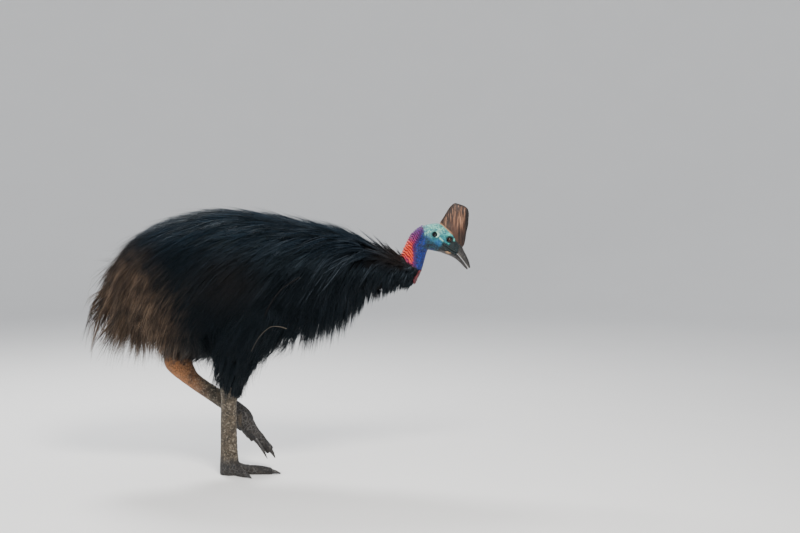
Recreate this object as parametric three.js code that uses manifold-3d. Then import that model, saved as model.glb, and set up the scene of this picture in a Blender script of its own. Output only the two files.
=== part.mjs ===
// A southern cassowary in mid-stride, as a life-size still model: one group with a mesh for each part.
// Millimetres, +Z up. The bird faces +X, its mid-plane is Y = 0, and its right side is -Y.
// The origin is on the floor, under the heel pad of the foot that it stands on.
import * as THREE from "three";
import { mergeVertices } from "three/addons/utils/BufferGeometryUtils.js";
import Module from "manifold-3d";

const wasm = await Module();
wasm.setup();

// Driving dimensions
const GAP = 0.3; // left between parts that touch
const RUMP_X = -190; // where the rump meets the torso
const NECK_X = 470; // where the feathered neck meets the torso
const EYE = { x: 837, y: 25.5, z: 905, r: 10.5 };
const EAR = { x: 784, y: 40, z: 925, r: 7 };
const MOUTH = { x0: 810, z0: 889, x1: 870, z1: 850, cut: 2.2 }; // the line of the mouth on the cheek
const NOSTRIL = { x: 893, y: 12, z: 845, r: 2.2, long: 2.6, turn: -32 };
const BILL_PLANE = { x: 862, z: 868, turn: 41.3 }; // the slanted plane where the bill leaves the head
const HEEL = { x: 0, y: 0 }; // centre of the standing foot's pad
const RAISED = { x: 42, y: 74, z: 196, pitch: 45 }; // centre of the lifted foot's pad, and its toes' hang
const PAD = 22; // how far the lifted foot's sole lies under its pad's centre
const WING = { x: 335, z: 800, arm: 120, drop: 70, wide: 44, thick: 12, off: 30 };
const QUILL = { count: 5, length: 250, thick: 5, off: 34, hang: 0.45 };
const WRINKLES = 9; // folds across the nape and throat
const SHANK_SCUTES = 8;

// Plumage: hair-like feathers in flat, tapered locks, rooted in the trunk and the thighs
const LOCK = { thick: 8, sunk: 8, stand: 23, jitter: 7 };
const LIE = { back: 6, belly: 66, rump: 38, steepest: 84 }; // degrees below level, pointing back
const TORSO_ROWS = { from: 446, to: -140, count: 6, around: 12, long: 250, droop: 14, wide: 84 };
const RUMP_ROWS = [
  { x: -225, around: 10, long: 270, wide: 88 },
  { x: -290, around: 9, long: 310, wide: 80 },
  { x: -345, around: 7, long: 345, wide: 72 },
  { x: -385, around: 6, long: 375, wide: 58 },
];
const RUMP_DROOP = 30;
const NECK_ROWS = [
  { x: 500, around: 9, long: 150, wide: 72 },
  { x: 572, around: 8, long: 110, wide: 60 },
  { x: 635, around: 6, long: 78, wide: 50 },
];
const NECK_DROOP = 6;
const THIGH_LOCKS = { rows: [0.04, 0.29, 0.53], around: 6, long: 0.41, wide: 66, stand: 20 };

// The trunk from rump to collar, in upright sections: [x, back height, belly height, half width]
const TRUNK = [
  [-405, 796, 780, 6],
  [-385, 838, 735, 52],
  [-340, 893, 690, 96],
  [-260, 950, 640, 130],
  [-150, 988, 592, 153],
  [-20, 1003, 556, 166],
  [110, 992, 556, 167],
  [230, 970, 588, 156],
  [340, 952, 632, 136],
  [440, 925, 672, 110],
  [530, 890, 702, 84],
  [600, 860, 722, 64],
  [650, 838, 736, 51],
  [685, 812, 744, 38],
  [708, 785, 762, 14],
];

// Sections of the other parts: [upper or front edge, lower or rear edge, half width, y of the centre]
const NECK = [
  [[640, 815], [688, 742], 33, 0],
  [[653, 846], [723, 772], 36, 0],
  [[667, 874], [739, 812], 35, 0],
  [[679, 905], [747, 845], 34, 0],
  [[694, 930], [752, 872], 35, 0],
  [[716, 944], [765, 893], 34, 0],
];
const HEAD = [
  [[699, 922], [703, 898], 12, 0],
  [[715, 945], [722, 877], 31, 0],
  [[742, 958], [748, 865], 39, 0],
  [[783, 966], [782, 861], 41, 0],
  [[812, 960], [806, 856], 38, 0],
  [[842, 938], [826, 850], 31, 0],
  [[868, 908], [842, 845], 23, 0],
  [[890, 878], [862, 834], 15, 0],
];
const BILL_UPPER = [
  [[866, 912], [812, 888], 25, 0],
  [[882, 889], [840, 871], 18.5, 0],
  [[892, 865], [866, 852], 14.5, 0],
  [[906, 838], [888, 828], 10.5, 0],
  [[915, 814], [903, 807], 6.5, 0],
  [[918, 796], [911, 794.5], 2.5, 0],
];
const BILL_LOWER = [
  [[812, 886], [790, 860], 24, 0],
  [[838, 870], [826, 847], 20, 0],
  [[865, 851], [852, 836], 14, 0],
  [[887, 826.5], [878, 816], 9.5, 0],
  [[901, 807], [893, 800], 6, 0],
  [[909.5, 793], [905, 789], 2.5, 0],
];
const CASQUE = [
  [[878, 868], [815, 925], 15, 0],
  [[893, 885], [802, 962], 19, 0],
  [[901, 925], [821, 998], 16, 1],
  [[908, 965], [836, 1023], 12.5, 2],
  [[911, 1003], [850, 1038], 9, 3],
  [[903, 1030], [863, 1044], 5, 4],
];
const WATTLE = [
  [[731, 795], [716, 786], 8, 16],
  [[729, 783], [712, 774], 9, 19],
  [[720, 768], [703, 760], 9, 21],
  [[714, 750], [699, 746], 8, 22],
  [[708, 737], [702, 735], 4, 22],
];
const THIGH_STANDING = [
  [[215, 575], [60, 680], 66, -96],
  [[165, 495], [5, 600], 68, -94],
  [[118, 432], [-26, 522], 58, -84],
  [[82, 388], [-36, 452], 47, -68],
  [[52, 352], [-37, 392], 36, -52],
  [[42, 326], [-33, 350], 29, -43],
];
const THIGH_RAISED = [
  [[60, 680], [150, 560], 66, 96],
  [[-40, 650], [50, 505], 68, 98],
  [[-120, 600], [-60, 470], 58, 98],
  [[-188, 548], [-134, 448], 47, 93],
  [[-236, 505], [-168, 440], 37, 88],
  [[-256, 476], [-176, 440], 31, 86],
];
const TARSUS_STANDING = [
  [[48, 356], [-37, 374], 29, -48],
  [[43, 324], [-35, 332], 31, -41],
  [[26, 286], [-33, 288], 25, -33],
  [[23, 200], [-37, 200], 22.5, -20],
  [[24, 102], [-40, 102], 23.5, -6],
  [[28, 50], [-43, 50], 28, 0],
  [[36, 14], [-44, 12], 33, 0],
  [[34, -16], [-42, -16], 31, 0],
];
const TARSUS_RAISED = [
  [[-176, 492], [-262, 474], 24, 87],
  [[-166, 448], [-268, 424], 31, 86],
  [[-152, 402], [-246, 384], 30, 85],
  [[-128, 368], [-168, 324], 24, 83],
  [[-46, 312], [-80, 264], 22.5, 80],
  [[18, 270], [-18, 218], 24, 77],
  [[62, 234], [6, 172], 30, 75],
  [[82, 196], [34, 150], 29, 74],
];

// Toes in their own frame, from the pad's centre along +X with the sole at z = 0
const TOE_MIDDLE = [
  [[-8, 50], [-8, -5], 22, 0],
  [[30, 42], [30, -5], 19, 0],
  [[70, 32], [70, -4], 15.5, 0],
  [[112, 26], [112, -4], 13.5, 0],
  [[148, 22], [150, -3], 11.5, 0],
  [[160, 13], [160, 3], 5, 0],
];
const TOE_OUTER = [
  [[-8, 42], [-8, -5], 19, 0],
  [[24, 34], [24, -5], 16.5, 0],
  [[54, 26], [54, -4], 13.5, 0],
  [[80, 21], [82, -3], 11, 0],
  [[90, 12], [90, 4], 5, 0],
];
const TOE_INNER = [
  [[-8, 42], [-8, -5], 20, 0],
  [[24, 35], [24, -5], 17.5, 0],
  [[54, 29], [54, -4], 15, 0],
  [[76, 25], [78, -3], 12.5, 0],
  [[86, 15], [86, 5], 6, 0],
];
const CLAW_SHORT = [
  [[-16, 19], [-16, 4], 7, 0],
  [[0, 19], [0, 3], 7.5, 0],
  [[16, 14], [15, 2.5], 5.5, 0],
  [[34, 3], [31, 0.8], 1.2, 0],
];
const CLAW_DAGGER = [
  [[-14, 23], [-14, 5], 8.5, 0],
  [[4, 24], [4, 4], 9, 0],
  [[36, 20], [36, 5], 7, 0],
  [[70, 12], [69, 3], 4, 0],
  [[98, 3], [97, 1], 1, 0],
];
const TOES = [
  { name: "middle", rows: TOE_MIDDLE, turn: 0, claw: CLAW_SHORT, clawAt: 152, scutes: 7, droop: 0 },
  { name: "outer", rows: TOE_OUTER, turn: -1, claw: CLAW_SHORT, clawAt: 82, scutes: 5, droop: 20 },
  { name: "inner", rows: TOE_INNER, turn: 1, claw: CLAW_DAGGER, clawAt: 78, scutes: 5, droop: 5 },
];
const FOOT_STANDING = {
  name: "right",
  inward: 1,
  at: [HEEL.x, HEEL.y, 0],
  pitch: 0,
  splay: { middle: 0, outer: 44, inner: 38 },
};
const FOOT_RAISED = {
  name: "left",
  inward: -1,
  at: [RAISED.x, RAISED.y, RAISED.z],
  pitch: RAISED.pitch,
  splay: { middle: 0, outer: 36, inner: 14 },
};

// How finely each kind of body is faceted: sides around, rings along, and the share that rounds each end
const TRUNK_MESH = { around: 18, rings: 22, blunt: 0.03 };
const HEAD_MESH = { around: 14, rings: 12, blunt: 0.06 };
const NECK_MESH = { around: 12, rings: 2 * WRINKLES, blunt: 0.05 };
const BILL_MESH = { around: 10, rings: 8, blunt: 0.06 };
const CASQUE_MESH = { around: 12, rings: 9, blunt: 0.1 };
const WATTLE_MESH = { around: 8, rings: 7, blunt: 0.2 };
const THIGH_MESH = { around: 14, rings: 10, blunt: 0.08 };
const SHANK_MESH = { around: 10, rings: 2 * SHANK_SCUTES, blunt: 0.05 };
const CLAW_MESH = { around: 6, rings: 6, blunt: 0.06 };

// Materials, in the colours of the living bird
const material = (color, roughness, metalness = 0) =>
  new THREE.MeshStandardMaterial({ color, roughness, metalness });
const PLUMAGE = material(0x15151a, 0.7);
const RUMP_PLUMAGE = material(0x2e211a, 0.75);
const NECK_SKIN = material(0x2c4f9e, 0.5);
const HEAD_SKIN = material(0x6fc0ae, 0.5);
const CASQUE_HORN = material(0x6a4a3a, 0.4);
const BILL_HORN = material(0x23211f, 0.35);
const EYE_GLOSS = material(0x1a0d08, 0.08);
const WATTLE_SKIN = material(0x8a2230, 0.5);
const LEG_SKIN = material(0x6b5d49, 0.65);
const CLAW_HORN = material(0x2a2826, 0.4);
const QUILL_HORN = material(0x121114, 0.35);

const { clamp, degToRad, lerp, smoothstep } = THREE.MathUtils;

// Limits of the working
const THINNEST = 6; // half height and half width that the trunk's section never falls under
const REACH = 5; // either side of a point, for the trunk's slope there
const SNAP = 128; // steps to a millimetre that a node's vertices are snapped to
const TIP_ROOM = 5; // a sharp edge or tip needs more room than a flat side for the same gap
const STEPS = 4; // along a lock's path
const WIDE = 2000; // wider than the whole bird
const SHORTER = [1, 0.75, 0.5, 0.36]; // shares of its length that a lock may have to keep clear of a leg

// Smooth curve through equally spaced values, read at t from 0 to 1
function along(values, t) {
  const place = clamp(t, 0, 1) * (values.length - 1);
  const i = Math.min(Math.floor(place), values.length - 2);
  const f = place - i;
  const at = (k) => values[clamp(k, 0, values.length - 1)];
  const leave = (at(i + 1) - at(i - 1)) / 2;
  const arrive = (at(i + 2) - at(i)) / 2;
  return at(i) * (1 + 2 * f) * (1 - f) ** 2 + leave * f * (1 - f) ** 2 +
    at(i + 1) * f * f * (3 - 2 * f) + arrive * f * f * (f - 1);
}

// Where x falls in the trunk's table, as t from 0 to 1
const TRUNK_COLUMNS = [0, 1, 2, 3].map((c) => TRUNK.map((row) => row[c]));
function trunkPlace(x) {
  let [low, high] = [0, 1];
  for (let k = 0; k < 24; k++) {
    const middle = (low + high) / 2;
    if (along(TRUNK_COLUMNS[0], middle) < x) low = middle;
    else high = middle;
  }
  return (low + high) / 2;
}

// The trunk's upright section at x: centre height, half height and half width
const sections = new Map();
function trunkSection(x) {
  const key = Math.round(x);
  if (!sections.has(key)) {
    const t = trunkPlace(key);
    const [top, low, half] = [1, 2, 3].map((c) => along(TRUNK_COLUMNS[c], t));
    sections.set(key, {
      z: (top + low) / 2,
      high: Math.max((top - low) / 2, THINNEST),
      wide: Math.max(half, THINNEST),
    });
  }
  return sections.get(key);
}

// How far a point stands off the trunk, and the way straight out from it
function offTrunk(p) {
  const level = (x) => {
    const s = trunkSection(x);
    return Math.hypot(p.y / s.wide, (p.z - s.z) / s.high);
  };
  const s = trunkSection(p.x);
  const here = level(p.x);
  const slope = (level(p.x + REACH) - level(p.x - REACH)) / (2 * REACH);
  const out = new THREE.Vector3(slope, p.y / (s.wide ** 2 * here), (p.z - s.z) / (s.high ** 2 * here));
  return { off: (here - 1) / out.length(), out: out.normalize() };
}

// Rows of a loft as plain columns, so that each can be read as a smooth curve
const columns = (rows) => ({
  topX: rows.map((r) => r[0][0]),
  topZ: rows.map((r) => r[0][1]),
  lowX: rows.map((r) => r[1][0]),
  lowZ: rows.map((r) => r[1][1]),
  half: rows.map((r) => r[2]),
  y: rows.map((r) => r[3]),
});
const TRUNK_LOFT = TRUNK.map(([x, top, low, half]) => [[x, top], [x, low], half, 0]);

// One section of a loft: its centre, the half vector to its upper edge, and its half width
function sectionAt(c, t) {
  const [tx, tz, lx, lz] = [c.topX, c.topZ, c.lowX, c.lowZ].map((v) => along(v, t));
  return {
    centre: new THREE.Vector3((tx + lx) / 2, along(c.y, t), (tz + lz) / 2),
    rise: new THREE.Vector3((tx - lx) / 2, 0, (tz - lz) / 2),
    half: along(c.half, t),
  };
}

// A point of a section's edge at an angle from its upper edge, some millimetres off it
function edgePoint(s, angle, off) {
  const rise = s.rise.clone().setLength(s.rise.length() + off);
  const p = s.centre.clone().addScaledVector(rise, Math.cos(angle));
  p.y += (s.half + off) * Math.sin(angle);
  return p;
}

// A closed body through the sections: a sphere whose rings are moved to them, with rounded ends.
// relief(t, angle) may raise the skin by some millimetres, and grow swells the whole body.
function loftGeometry(rows, { around, rings, blunt, grow = 0, relief = null }) {
  const c = columns(rows);
  const sphere = new THREE.SphereGeometry(1, around, rings);
  const { position, uv } = sphere.attributes;
  for (let i = 0; i < position.count; i++) {
    const ring = Math.round((1 - uv.getY(i)) * rings);
    const angle = (2 * Math.PI * (Math.round(uv.getX(i) * around) % around)) / around;
    const t = ring / rings;
    const end = Math.min(t, 1 - t);
    const pole = ring === 0 || ring === rings;
    const cap = end < blunt ? Math.sqrt(1 - (1 - end / blunt) ** 2) : 1;
    const s = sectionAt(c, t);
    const edge = edgePoint(s, angle, grow + (relief && !pole ? relief(t, angle) : 0));
    const p = s.centre.clone().lerp(edge, pole ? 0 : cap);
    position.setXYZ(i, p.x, p.y, p.z);
  }
  return sphere;
}

// A three.js geometry as a solid, turned the right way out
function solid(geometry, matrix = null) {
  const bare = geometry.index ? geometry.toNonIndexed() : geometry.clone();
  bare.deleteAttribute("normal");
  bare.deleteAttribute("uv");
  if (matrix) bare.applyMatrix4(matrix);
  const merged = mergeVertices(bare, 1e-3);
  const build = (faces) => {
    const [vertProperties, triVerts] = [merged.attributes.position.array, Uint32Array.from(faces)];
    return new wasm.Manifold(new wasm.Mesh({ numProp: 3, vertProperties, triVerts }));
  };
  const corners = [...merged.index.array];
  const faces = corners.flatMap((a, i) => (i % 3 ? [] : [[a, corners[i + 1], corners[i + 2]]]));
  const whole = faces.filter(([a, b, c]) => a !== b && b !== c && c !== a).flat();
  const made = build(whole);
  return made.volume() > 0 ? made : build(whole.reverse());
}

const loft = (rows, options, grow = 0) => solid(loftGeometry(rows, { ...options, grow }));
const mirrored = (rows) => rows.map(([top, low, half, y]) => [top, low, half, -y]);
const box = (low, high) => {
  const size = high.map((v, i) => v - low[i]);
  const middle = high.map((v, i) => (v + low[i]) / 2);
  return solid(new THREE.BoxGeometry(...size).translate(...middle));
};

// A solid's faces as a three.js geometry, its vertices snapped to a fine grid so that no sliver is left
function geometryOf(s) {
  const { numProp, vertProperties, triVerts } = s.getMesh();
  const points = vertProperties.filter((_, i) => i % numProp < 3).map((v) => Math.round(v * SNAP) / SNAP);
  return new THREE.BufferGeometry()
    .setAttribute("position", new THREE.BufferAttribute(points, 3))
    .setIndex(new THREE.BufferAttribute(triVerts, 1));
}

// The largest closed surface of a solid: a scrap left by a cut is dropped, and a sealed hollow is filled
const biggest = (s) =>
  s.decompose().reduce((best, piece) => (piece.volume() > best.volume() ? piece : best));
function largest(s) {
  const merged = (body) => solid(geometryOf(body));
  let body = biggest(s);
  while (merged(body).decompose().length > 1) body = biggest(merged(body));
  return merged(body);
}
const without = (s, ...cutters) => largest(cutters.reduce((rest, cutter) => rest.subtract(cutter), s));
const joined = (pieces) => wasm.Manifold.union(pieces);

// The room that a body takes from its neighbours: itself and its swollen copy, as a thin tip hardly swells
const roomOf = (part) => joined([part(0), part(GAP)]);

// A repeatable random number from -1 to 1, one for each draw
function seeded(seed) {
  let state = (seed * 2654435761) % 4294967296;
  return () => {
    state = (state * 1664525 + 1013904223) % 4294967296;
    return (2 * state) / 4294967296 - 1;
  };
}

// A tapering piece bent along a path of { p, n }: n points out of its flat side, and wide and thick
// are functions of t
function blade(path, wide, thick, { sides = 4, steps = 3, grow = 0 } = {}) {
  const route = new THREE.CatmullRomCurve3(path.map((key) => key.p));
  const cone = new THREE.ConeGeometry(1, 1, sides, steps);
  const { position } = cone.attributes;
  for (let i = 0; i < position.count; i++) {
    const t = position.getY(i) + 0.5;
    const [a, b] = [position.getX(i), position.getZ(i)];
    const r = Math.hypot(a, b) || 1;
    const shell = Math.abs(a) + Math.abs(b) > 1e-6 ? 1 : 0;
    const k = t * (path.length - 1);
    const [lower, upper] = [path[Math.floor(k)], path[Math.ceil(k)]];
    const facing = lower.n.clone().lerp(upper.n, k - Math.floor(k));
    const tangent = route.getTangent(t);
    const across = tangent.clone().cross(facing).normalize();
    const out = across.clone().cross(tangent).normalize();
    const p = route.getPoint(t);
    p.addScaledVector(across, shell * (a / r) * (wide(t) / 2 + TIP_ROOM * grow));
    p.addScaledVector(tangent, t > 0.99 ? TIP_ROOM * grow : 0);
    p.addScaledVector(out, shell * (b / r) * (thick(t) / 2 + grow));
    position.setXYZ(i, p.x, p.y, p.z);
  }
  return solid(cone);
}

// A lock is narrow at its root, widest a fifth along and drawn out to its tip
const lockBlade = (path, wide, grow) =>
  blade(
    path,
    (t) => wide * Math.min(1, 0.72 + 1.4 * t) * (1 - t ** 2.2),
    (t) => LOCK.thick * (1 - 0.5 * t),
    { grow },
  );

// A lock's path from a root on the trunk. It follows the lie over the back and flank, rising from its sunk
// root to its stand at the tip, and hangs free where the body turns in under it or ends.
function trunkLock({ x, angle, long, wide, droop, stand }, grow) {
  const s = trunkSection(x);
  const height = Math.cos(angle);
  const p = new THREE.Vector3(x, s.wide * Math.sin(angle), s.z + s.high * height);
  const fall = lerp(LIE.back, LIE.belly, ((1 - height) / 2) ** 0.8);
  const neck = 1 - 0.55 * smoothstep(x, 440, 680);
  const lie = fall * neck + LIE.rump * smoothstep(-x, 140, 380);
  const path = [];
  let facing = null;
  for (let k = 0; k <= STEPS; k++) {
    const t = k / STEPS;
    const { off, out } = offTrunk(p);
    const want = stand * t - LOCK.sunk * (1 - t);
    const hug = smoothstep(out.z, -0.75, -0.1) * (x < RUMP_X ? 1 - t : 1);
    p.addScaledVector(out, (want - off) * (off < want ? 1 : hug));
    facing = facing ? facing.clone().lerp(out, 0.3 + 0.7 * hug) : out;
    path.push({ p: p.clone(), n: facing });
    const slant = degToRad(Math.min(lie + droop * t, LIE.steepest));
    const way = new THREE.Vector3(-Math.cos(slant), 0, -Math.sin(slant));
    const inward = way.dot(out);
    way.addScaledVector(out, -inward * (inward < 0 ? 1 : hug)).normalize();
    p.addScaledVector(way, long / STEPS);
  }
  return lockBlade(path, wide, grow);
}

// One row of locks around the trunk at x, set between those of the row before
function lockRow({ x, around, long, wide, droop, stand = LOCK.stand }, row) {
  const draw = seeded(Math.round(x) + 1003);
  return Array.from({ length: around }, (_, i) => {
    const angle = (2 * Math.PI * (i + (row % 2 ? 0.75 : 0.25) + 0.12 * draw())) / around;
    const low = lerp(0.7, 1, smoothstep(Math.cos(angle), -1, 0));
    return {
      x: x + LOCK.jitter * draw(),
      angle,
      long: long * low * (1 + 0.1 * draw()),
      wide: wide * (1 + 0.1 * draw()),
      droop: droop + 4 * draw(),
      stand: stand + 2 * draw(),
    };
  });
}

const torsoLocks = Array.from({ length: TORSO_ROWS.count }, (_, row) => {
  const x = lerp(TORSO_ROWS.from, TORSO_ROWS.to, row / (TORSO_ROWS.count - 1));
  return lockRow({ ...TORSO_ROWS, x }, row);
}).flat();
const rumpLocks = RUMP_ROWS.flatMap((spec, row) => lockRow({ ...spec, droop: RUMP_DROOP }, row));
const neckLocks = NECK_ROWS.flatMap((spec, row) => {
  const stand = lerp(LOCK.stand, 10, smoothstep(spec.x, 440, 680));
  return lockRow({ ...spec, stand, droop: NECK_DROOP }, row);
});

// Trunk in three nodes, parted by upright cuts
const trunkSolid = (grow = 0) => loft(TRUNK_LOFT, TRUNK_MESH, grow);
const slab = (from, to) => box([from, -WIDE, -WIDE], [to, WIDE, WIDE]);
const trunkPart = (from, to, locks, grow) =>
  joined([trunkSolid(grow).intersect(slab(from, to)), ...locks.map((lock) => trunkLock(lock, grow))]);

// Locks on a limb lie along it and stand out a little more towards their tips
function limbLocks(rows, grow) {
  const c = columns(rows);
  const draw = seeded(Math.round(Math.abs(rows[0][0][0])));
  return THIGH_LOCKS.rows.flatMap((from, row) =>
    Array.from({ length: THIGH_LOCKS.around }, (_, i) => {
      const angle = (2 * Math.PI * (i + 0.5 * (row % 2) + 0.1 * draw())) / THIGH_LOCKS.around;
      const long = THIGH_LOCKS.long * (1 + 0.1 * draw());
      const path = Array.from({ length: STEPS + 1 }, (_, k) => {
        const t = k / STEPS;
        const s = sectionAt(c, from + long * t);
        const p = edgePoint(s, angle, THIGH_LOCKS.stand * t - LOCK.sunk * (1 - t));
        return { p, n: p.clone().sub(s.centre).normalize() };
      });
      return lockBlade(path, THIGH_LOCKS.wide * (1 - 0.3 * from), grow);
    }),
  );
}
const thighSolid = (rows, grow = 0) => joined([loft(rows, THIGH_MESH, grow), ...limbLocks(rows, grow)]);

// A point on the flank beside the wing, some way off the trunk, and the way out from it
function onFlank(side, x, z, off, hang) {
  const s = trunkSection(x);
  const drop = Math.min(Math.abs((z - s.z) / s.high), 0.95) * (z < s.z ? hang : 1);
  const y = side * (s.wide * Math.sqrt(1 - drop * drop) + off);
  const n = new THREE.Vector3(0, y / s.wide ** 2, (z - s.z) / s.high ** 2).normalize();
  return { p: new THREE.Vector3(x, y, z), n };
}

// The small wing lies on the flank: a flat arm, and bare quills that curve back and down over the plumage
function wingSolid(side) {
  const armPath = [0, 0.5, 1].map((t) =>
    onFlank(side, WING.x - WING.arm * t, WING.z - WING.drop * t, WING.off, QUILL.hang),
  );
  const arm = blade(armPath, (t) => WING.wide * (1 - 0.35 * t), () => WING.thick, { sides: 8, steps: 3 });
  const quills = Array.from({ length: QUILL.count }, (_, i) => {
    const f = i / (QUILL.count - 1);
    const root = 0.45 + 0.35 * f;
    const length = QUILL.length * (1 - 0.25 * Math.abs(f - 0.4));
    const path = [0, 0.25, 0.5, 0.75, 1].map((t) => {
      const x = WING.x - WING.arm * root - length * (0.62 - 0.12 * f) * t * (1.25 - 0.25 * t);
      const z = WING.z - WING.drop * root + 6 - length * (0.3 * t + (0.42 + 0.1 * f) * t * t);
      return onFlank(side, x, z, QUILL.off + 1.5 * i, QUILL.hang);
    });
    const taper = (t) => QUILL.thick * (1 - 0.6 * t);
    return blade(path, taper, taper, { sides: 4, steps: 5 });
  });
  return joined([arm, ...quills]);
}

// Half-space in front of or behind the plane of the bill
function billSide(front) {
  const depth = 400;
  const shift = (front ? 1 : -1) * (depth + GAP) / 2;
  const matrix = new THREE.Matrix4()
    .makeTranslation(BILL_PLANE.x, 0, BILL_PLANE.z)
    .multiply(new THREE.Matrix4().makeRotationY(degToRad(BILL_PLANE.turn)));
  return solid(new THREE.BoxGeometry(depth, depth, depth).translate(shift, 0, 0), matrix);
}

// Lids ring each eye, and a rim rings each ear
const sphereAt = ({ x, y, z }, r) => solid(new THREE.SphereGeometry(r, 12, 8).translate(x, y, z));
function lid(side) {
  const ring = new THREE.TorusGeometry(EYE.r + 1.5, 3, 4, 10).rotateX(Math.PI / 2).scale(1.12, 1.3, 0.92);
  return solid(ring.translate(EYE.x, side * (EYE.y + 4.5), EYE.z));
}
function earRim(side) {
  const ring = new THREE.TorusGeometry(EAR.r + 1, 2.4, 4, 8).rotateX(Math.PI / 2);
  return solid(ring.translate(EAR.x, side * (EAR.y - 1), EAR.z));
}

// The mouth's line on the cheek, a slit on each side from the bill back to below the eye
function mouthSlit(side) {
  const { x0, z0, x1, z1, cut } = MOUTH;
  const slit = new THREE.BoxGeometry(Math.hypot(x1 - x0, z1 - z0), 30, cut);
  slit.rotateY(Math.atan2(z0 - z1, x1 - x0));
  return solid(slit.translate((x0 + x1) / 2, side * 38, (z0 + z1) / 2));
}

function nostril(side) {
  const slot = new THREE.CylinderGeometry(NOSTRIL.r, NOSTRIL.r, 8, 7).scale(1, 1, NOSTRIL.long);
  slot.rotateY(degToRad(NOSTRIL.turn));
  return solid(slot.translate(NOSTRIL.x, side * NOSTRIL.y, NOSTRIL.z));
}

const headLoft = (grow = 0) => loft(HEAD, HEAD_MESH, grow);
const billUpper = (grow = 0) => loft(BILL_UPPER, BILL_MESH, grow);
const neckLoft = (grow = 0) => {
  const folds = (t) => 1.5 * Math.cos(2 * Math.PI * WRINKLES * t);
  return loft(NECK, { ...NECK_MESH, relief: folds }, grow);
};

function headNode() {
  const rims = [-1, 1].flatMap((side) => [lid(side), earRim(side)]);
  const cuts = [-1, 1].flatMap((side) => [
    sphereAt({ ...EYE, y: side * EYE.y }, EYE.r + GAP),
    solid(new THREE.SphereGeometry(EAR.r, 9, 6).translate(EAR.x, side * (EAR.y + 1), EAR.z)),
    mouthSlit(side),
  ]);
  return without(joined([headLoft(), ...rims]).intersect(billSide(false)), ...cuts);
}

// Broad scutes down the front of a leg or along the top of a toe, as steps in its skin
const scutes = (count, height) => (t, angle) =>
  Math.max(0, Math.cos(angle)) * height * (1 - ((t * count) % 1));
const shank = (rows, grow = 0) => loft(rows, { ...SHANK_MESH, relief: scutes(SHANK_SCUTES, 2.2) }, grow);

// From a toe's own frame to its place on the foot: splayed about the pad, then hung by the foot's pitch
function toeMatrix(foot, toe) {
  const raised = foot.pitch > 0;
  return new THREE.Matrix4()
    .makeTranslation(...foot.at)
    .multiply(new THREE.Matrix4().makeRotationY(degToRad(foot.pitch + (raised ? toe.droop : 0))))
    .multiply(new THREE.Matrix4().makeRotationZ(degToRad(foot.inward * toe.turn * foot.splay[toe.name])))
    .multiply(new THREE.Matrix4().makeTranslation(0, 0, raised ? -PAD : 0));
}

function toeSolid(foot, toe, grow = 0) {
  const mesh = { around: 8, rings: 2 * toe.scutes, blunt: 0.08, grow, relief: scutes(toe.scutes, 1.8) };
  return solid(loftGeometry(toe.rows, mesh), toeMatrix(foot, toe));
}

function clawSolid(foot, toe, grow = 0) {
  const forward = new THREE.Matrix4().makeTranslation(toe.clawAt, 0, 0);
  return solid(loftGeometry(toe.claw, { ...CLAW_MESH, grow }), toeMatrix(foot, toe).multiply(forward));
}

// A node of the model, from a solid
function placed(name, part, look) {
  const geometry = geometryOf(part);
  geometry.computeVertexNormals();
  const mesh = new THREE.Mesh(geometry, look);
  mesh.name = name;
  return mesh;
}

// The toes and claws of a foot, each cut clear of the leg and of those made before it
function footNodes(foot, leg, floor) {
  const swollen = TOES.map((toe) => toeSolid(foot, toe, GAP));
  return TOES.flatMap((toe, i) => {
    const claws = TOES.slice(0, i).map((other) => clawSolid(foot, other, GAP));
    const body = without(toeSolid(foot, toe), leg, ...swollen.slice(0, i), ...floor);
    const claw = without(clawSolid(foot, toe), leg, ...swollen, ...claws, ...floor);
    return [
      placed(`toe_${toe.name}_${foot.name}`, body, LEG_SKIN),
      placed(`claw_${toe.name}_${foot.name}`, claw, CLAW_HORN),
    ];
  });
}

const bird = new THREE.Group();
bird.name = "cassowary";

// Trunk: a lock that would run into a leg is shorter, or left out where even half of it would
const legs = [
  ...[THIGH_STANDING, THIGH_RAISED].map((rows) => loft(rows, THIGH_MESH, 2)),
  ...[TARSUS_STANDING, TARSUS_RAISED].map((rows) => shank(rows, 2)),
];
const clearOfLegs = (locks) =>
  locks.flatMap((lock) => {
    const lengths = SHORTER.map((share) => ({ ...lock, long: lock.long * share }));
    const clear = lengths.find((fit) => legs.every((leg) => trunkLock(fit, 0).intersect(leg).isEmpty()));
    return clear ? [clear] : [];
  });
const torsoClear = clearOfLegs(torsoLocks);
const rumpClear = clearOfLegs(rumpLocks);
const torsoPart = (grow) => trunkPart(RUMP_X + GAP / 2 - grow, NECK_X - GAP / 2 + grow, torsoClear, grow);
const rumpPart = (grow) => trunkPart(-WIDE, RUMP_X - GAP / 2 + grow, rumpClear, grow);
const neckPart = (grow) => trunkPart(NECK_X + GAP / 2 - grow, WIDE, neckLocks, grow);
const [torsoRoom, rumpRoom, neckRoom] = [torsoPart, rumpPart, neckPart].map(roomOf);
const trunkRoom = [torsoRoom, rumpRoom, neckRoom];
bird.add(placed("torso", largest(torsoPart(0)), PLUMAGE));
bird.add(placed("rump", without(rumpPart(0), torsoRoom), RUMP_PLUMAGE));
bird.add(placed("neck_base", without(neckPart(0), torsoRoom), PLUMAGE));

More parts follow.
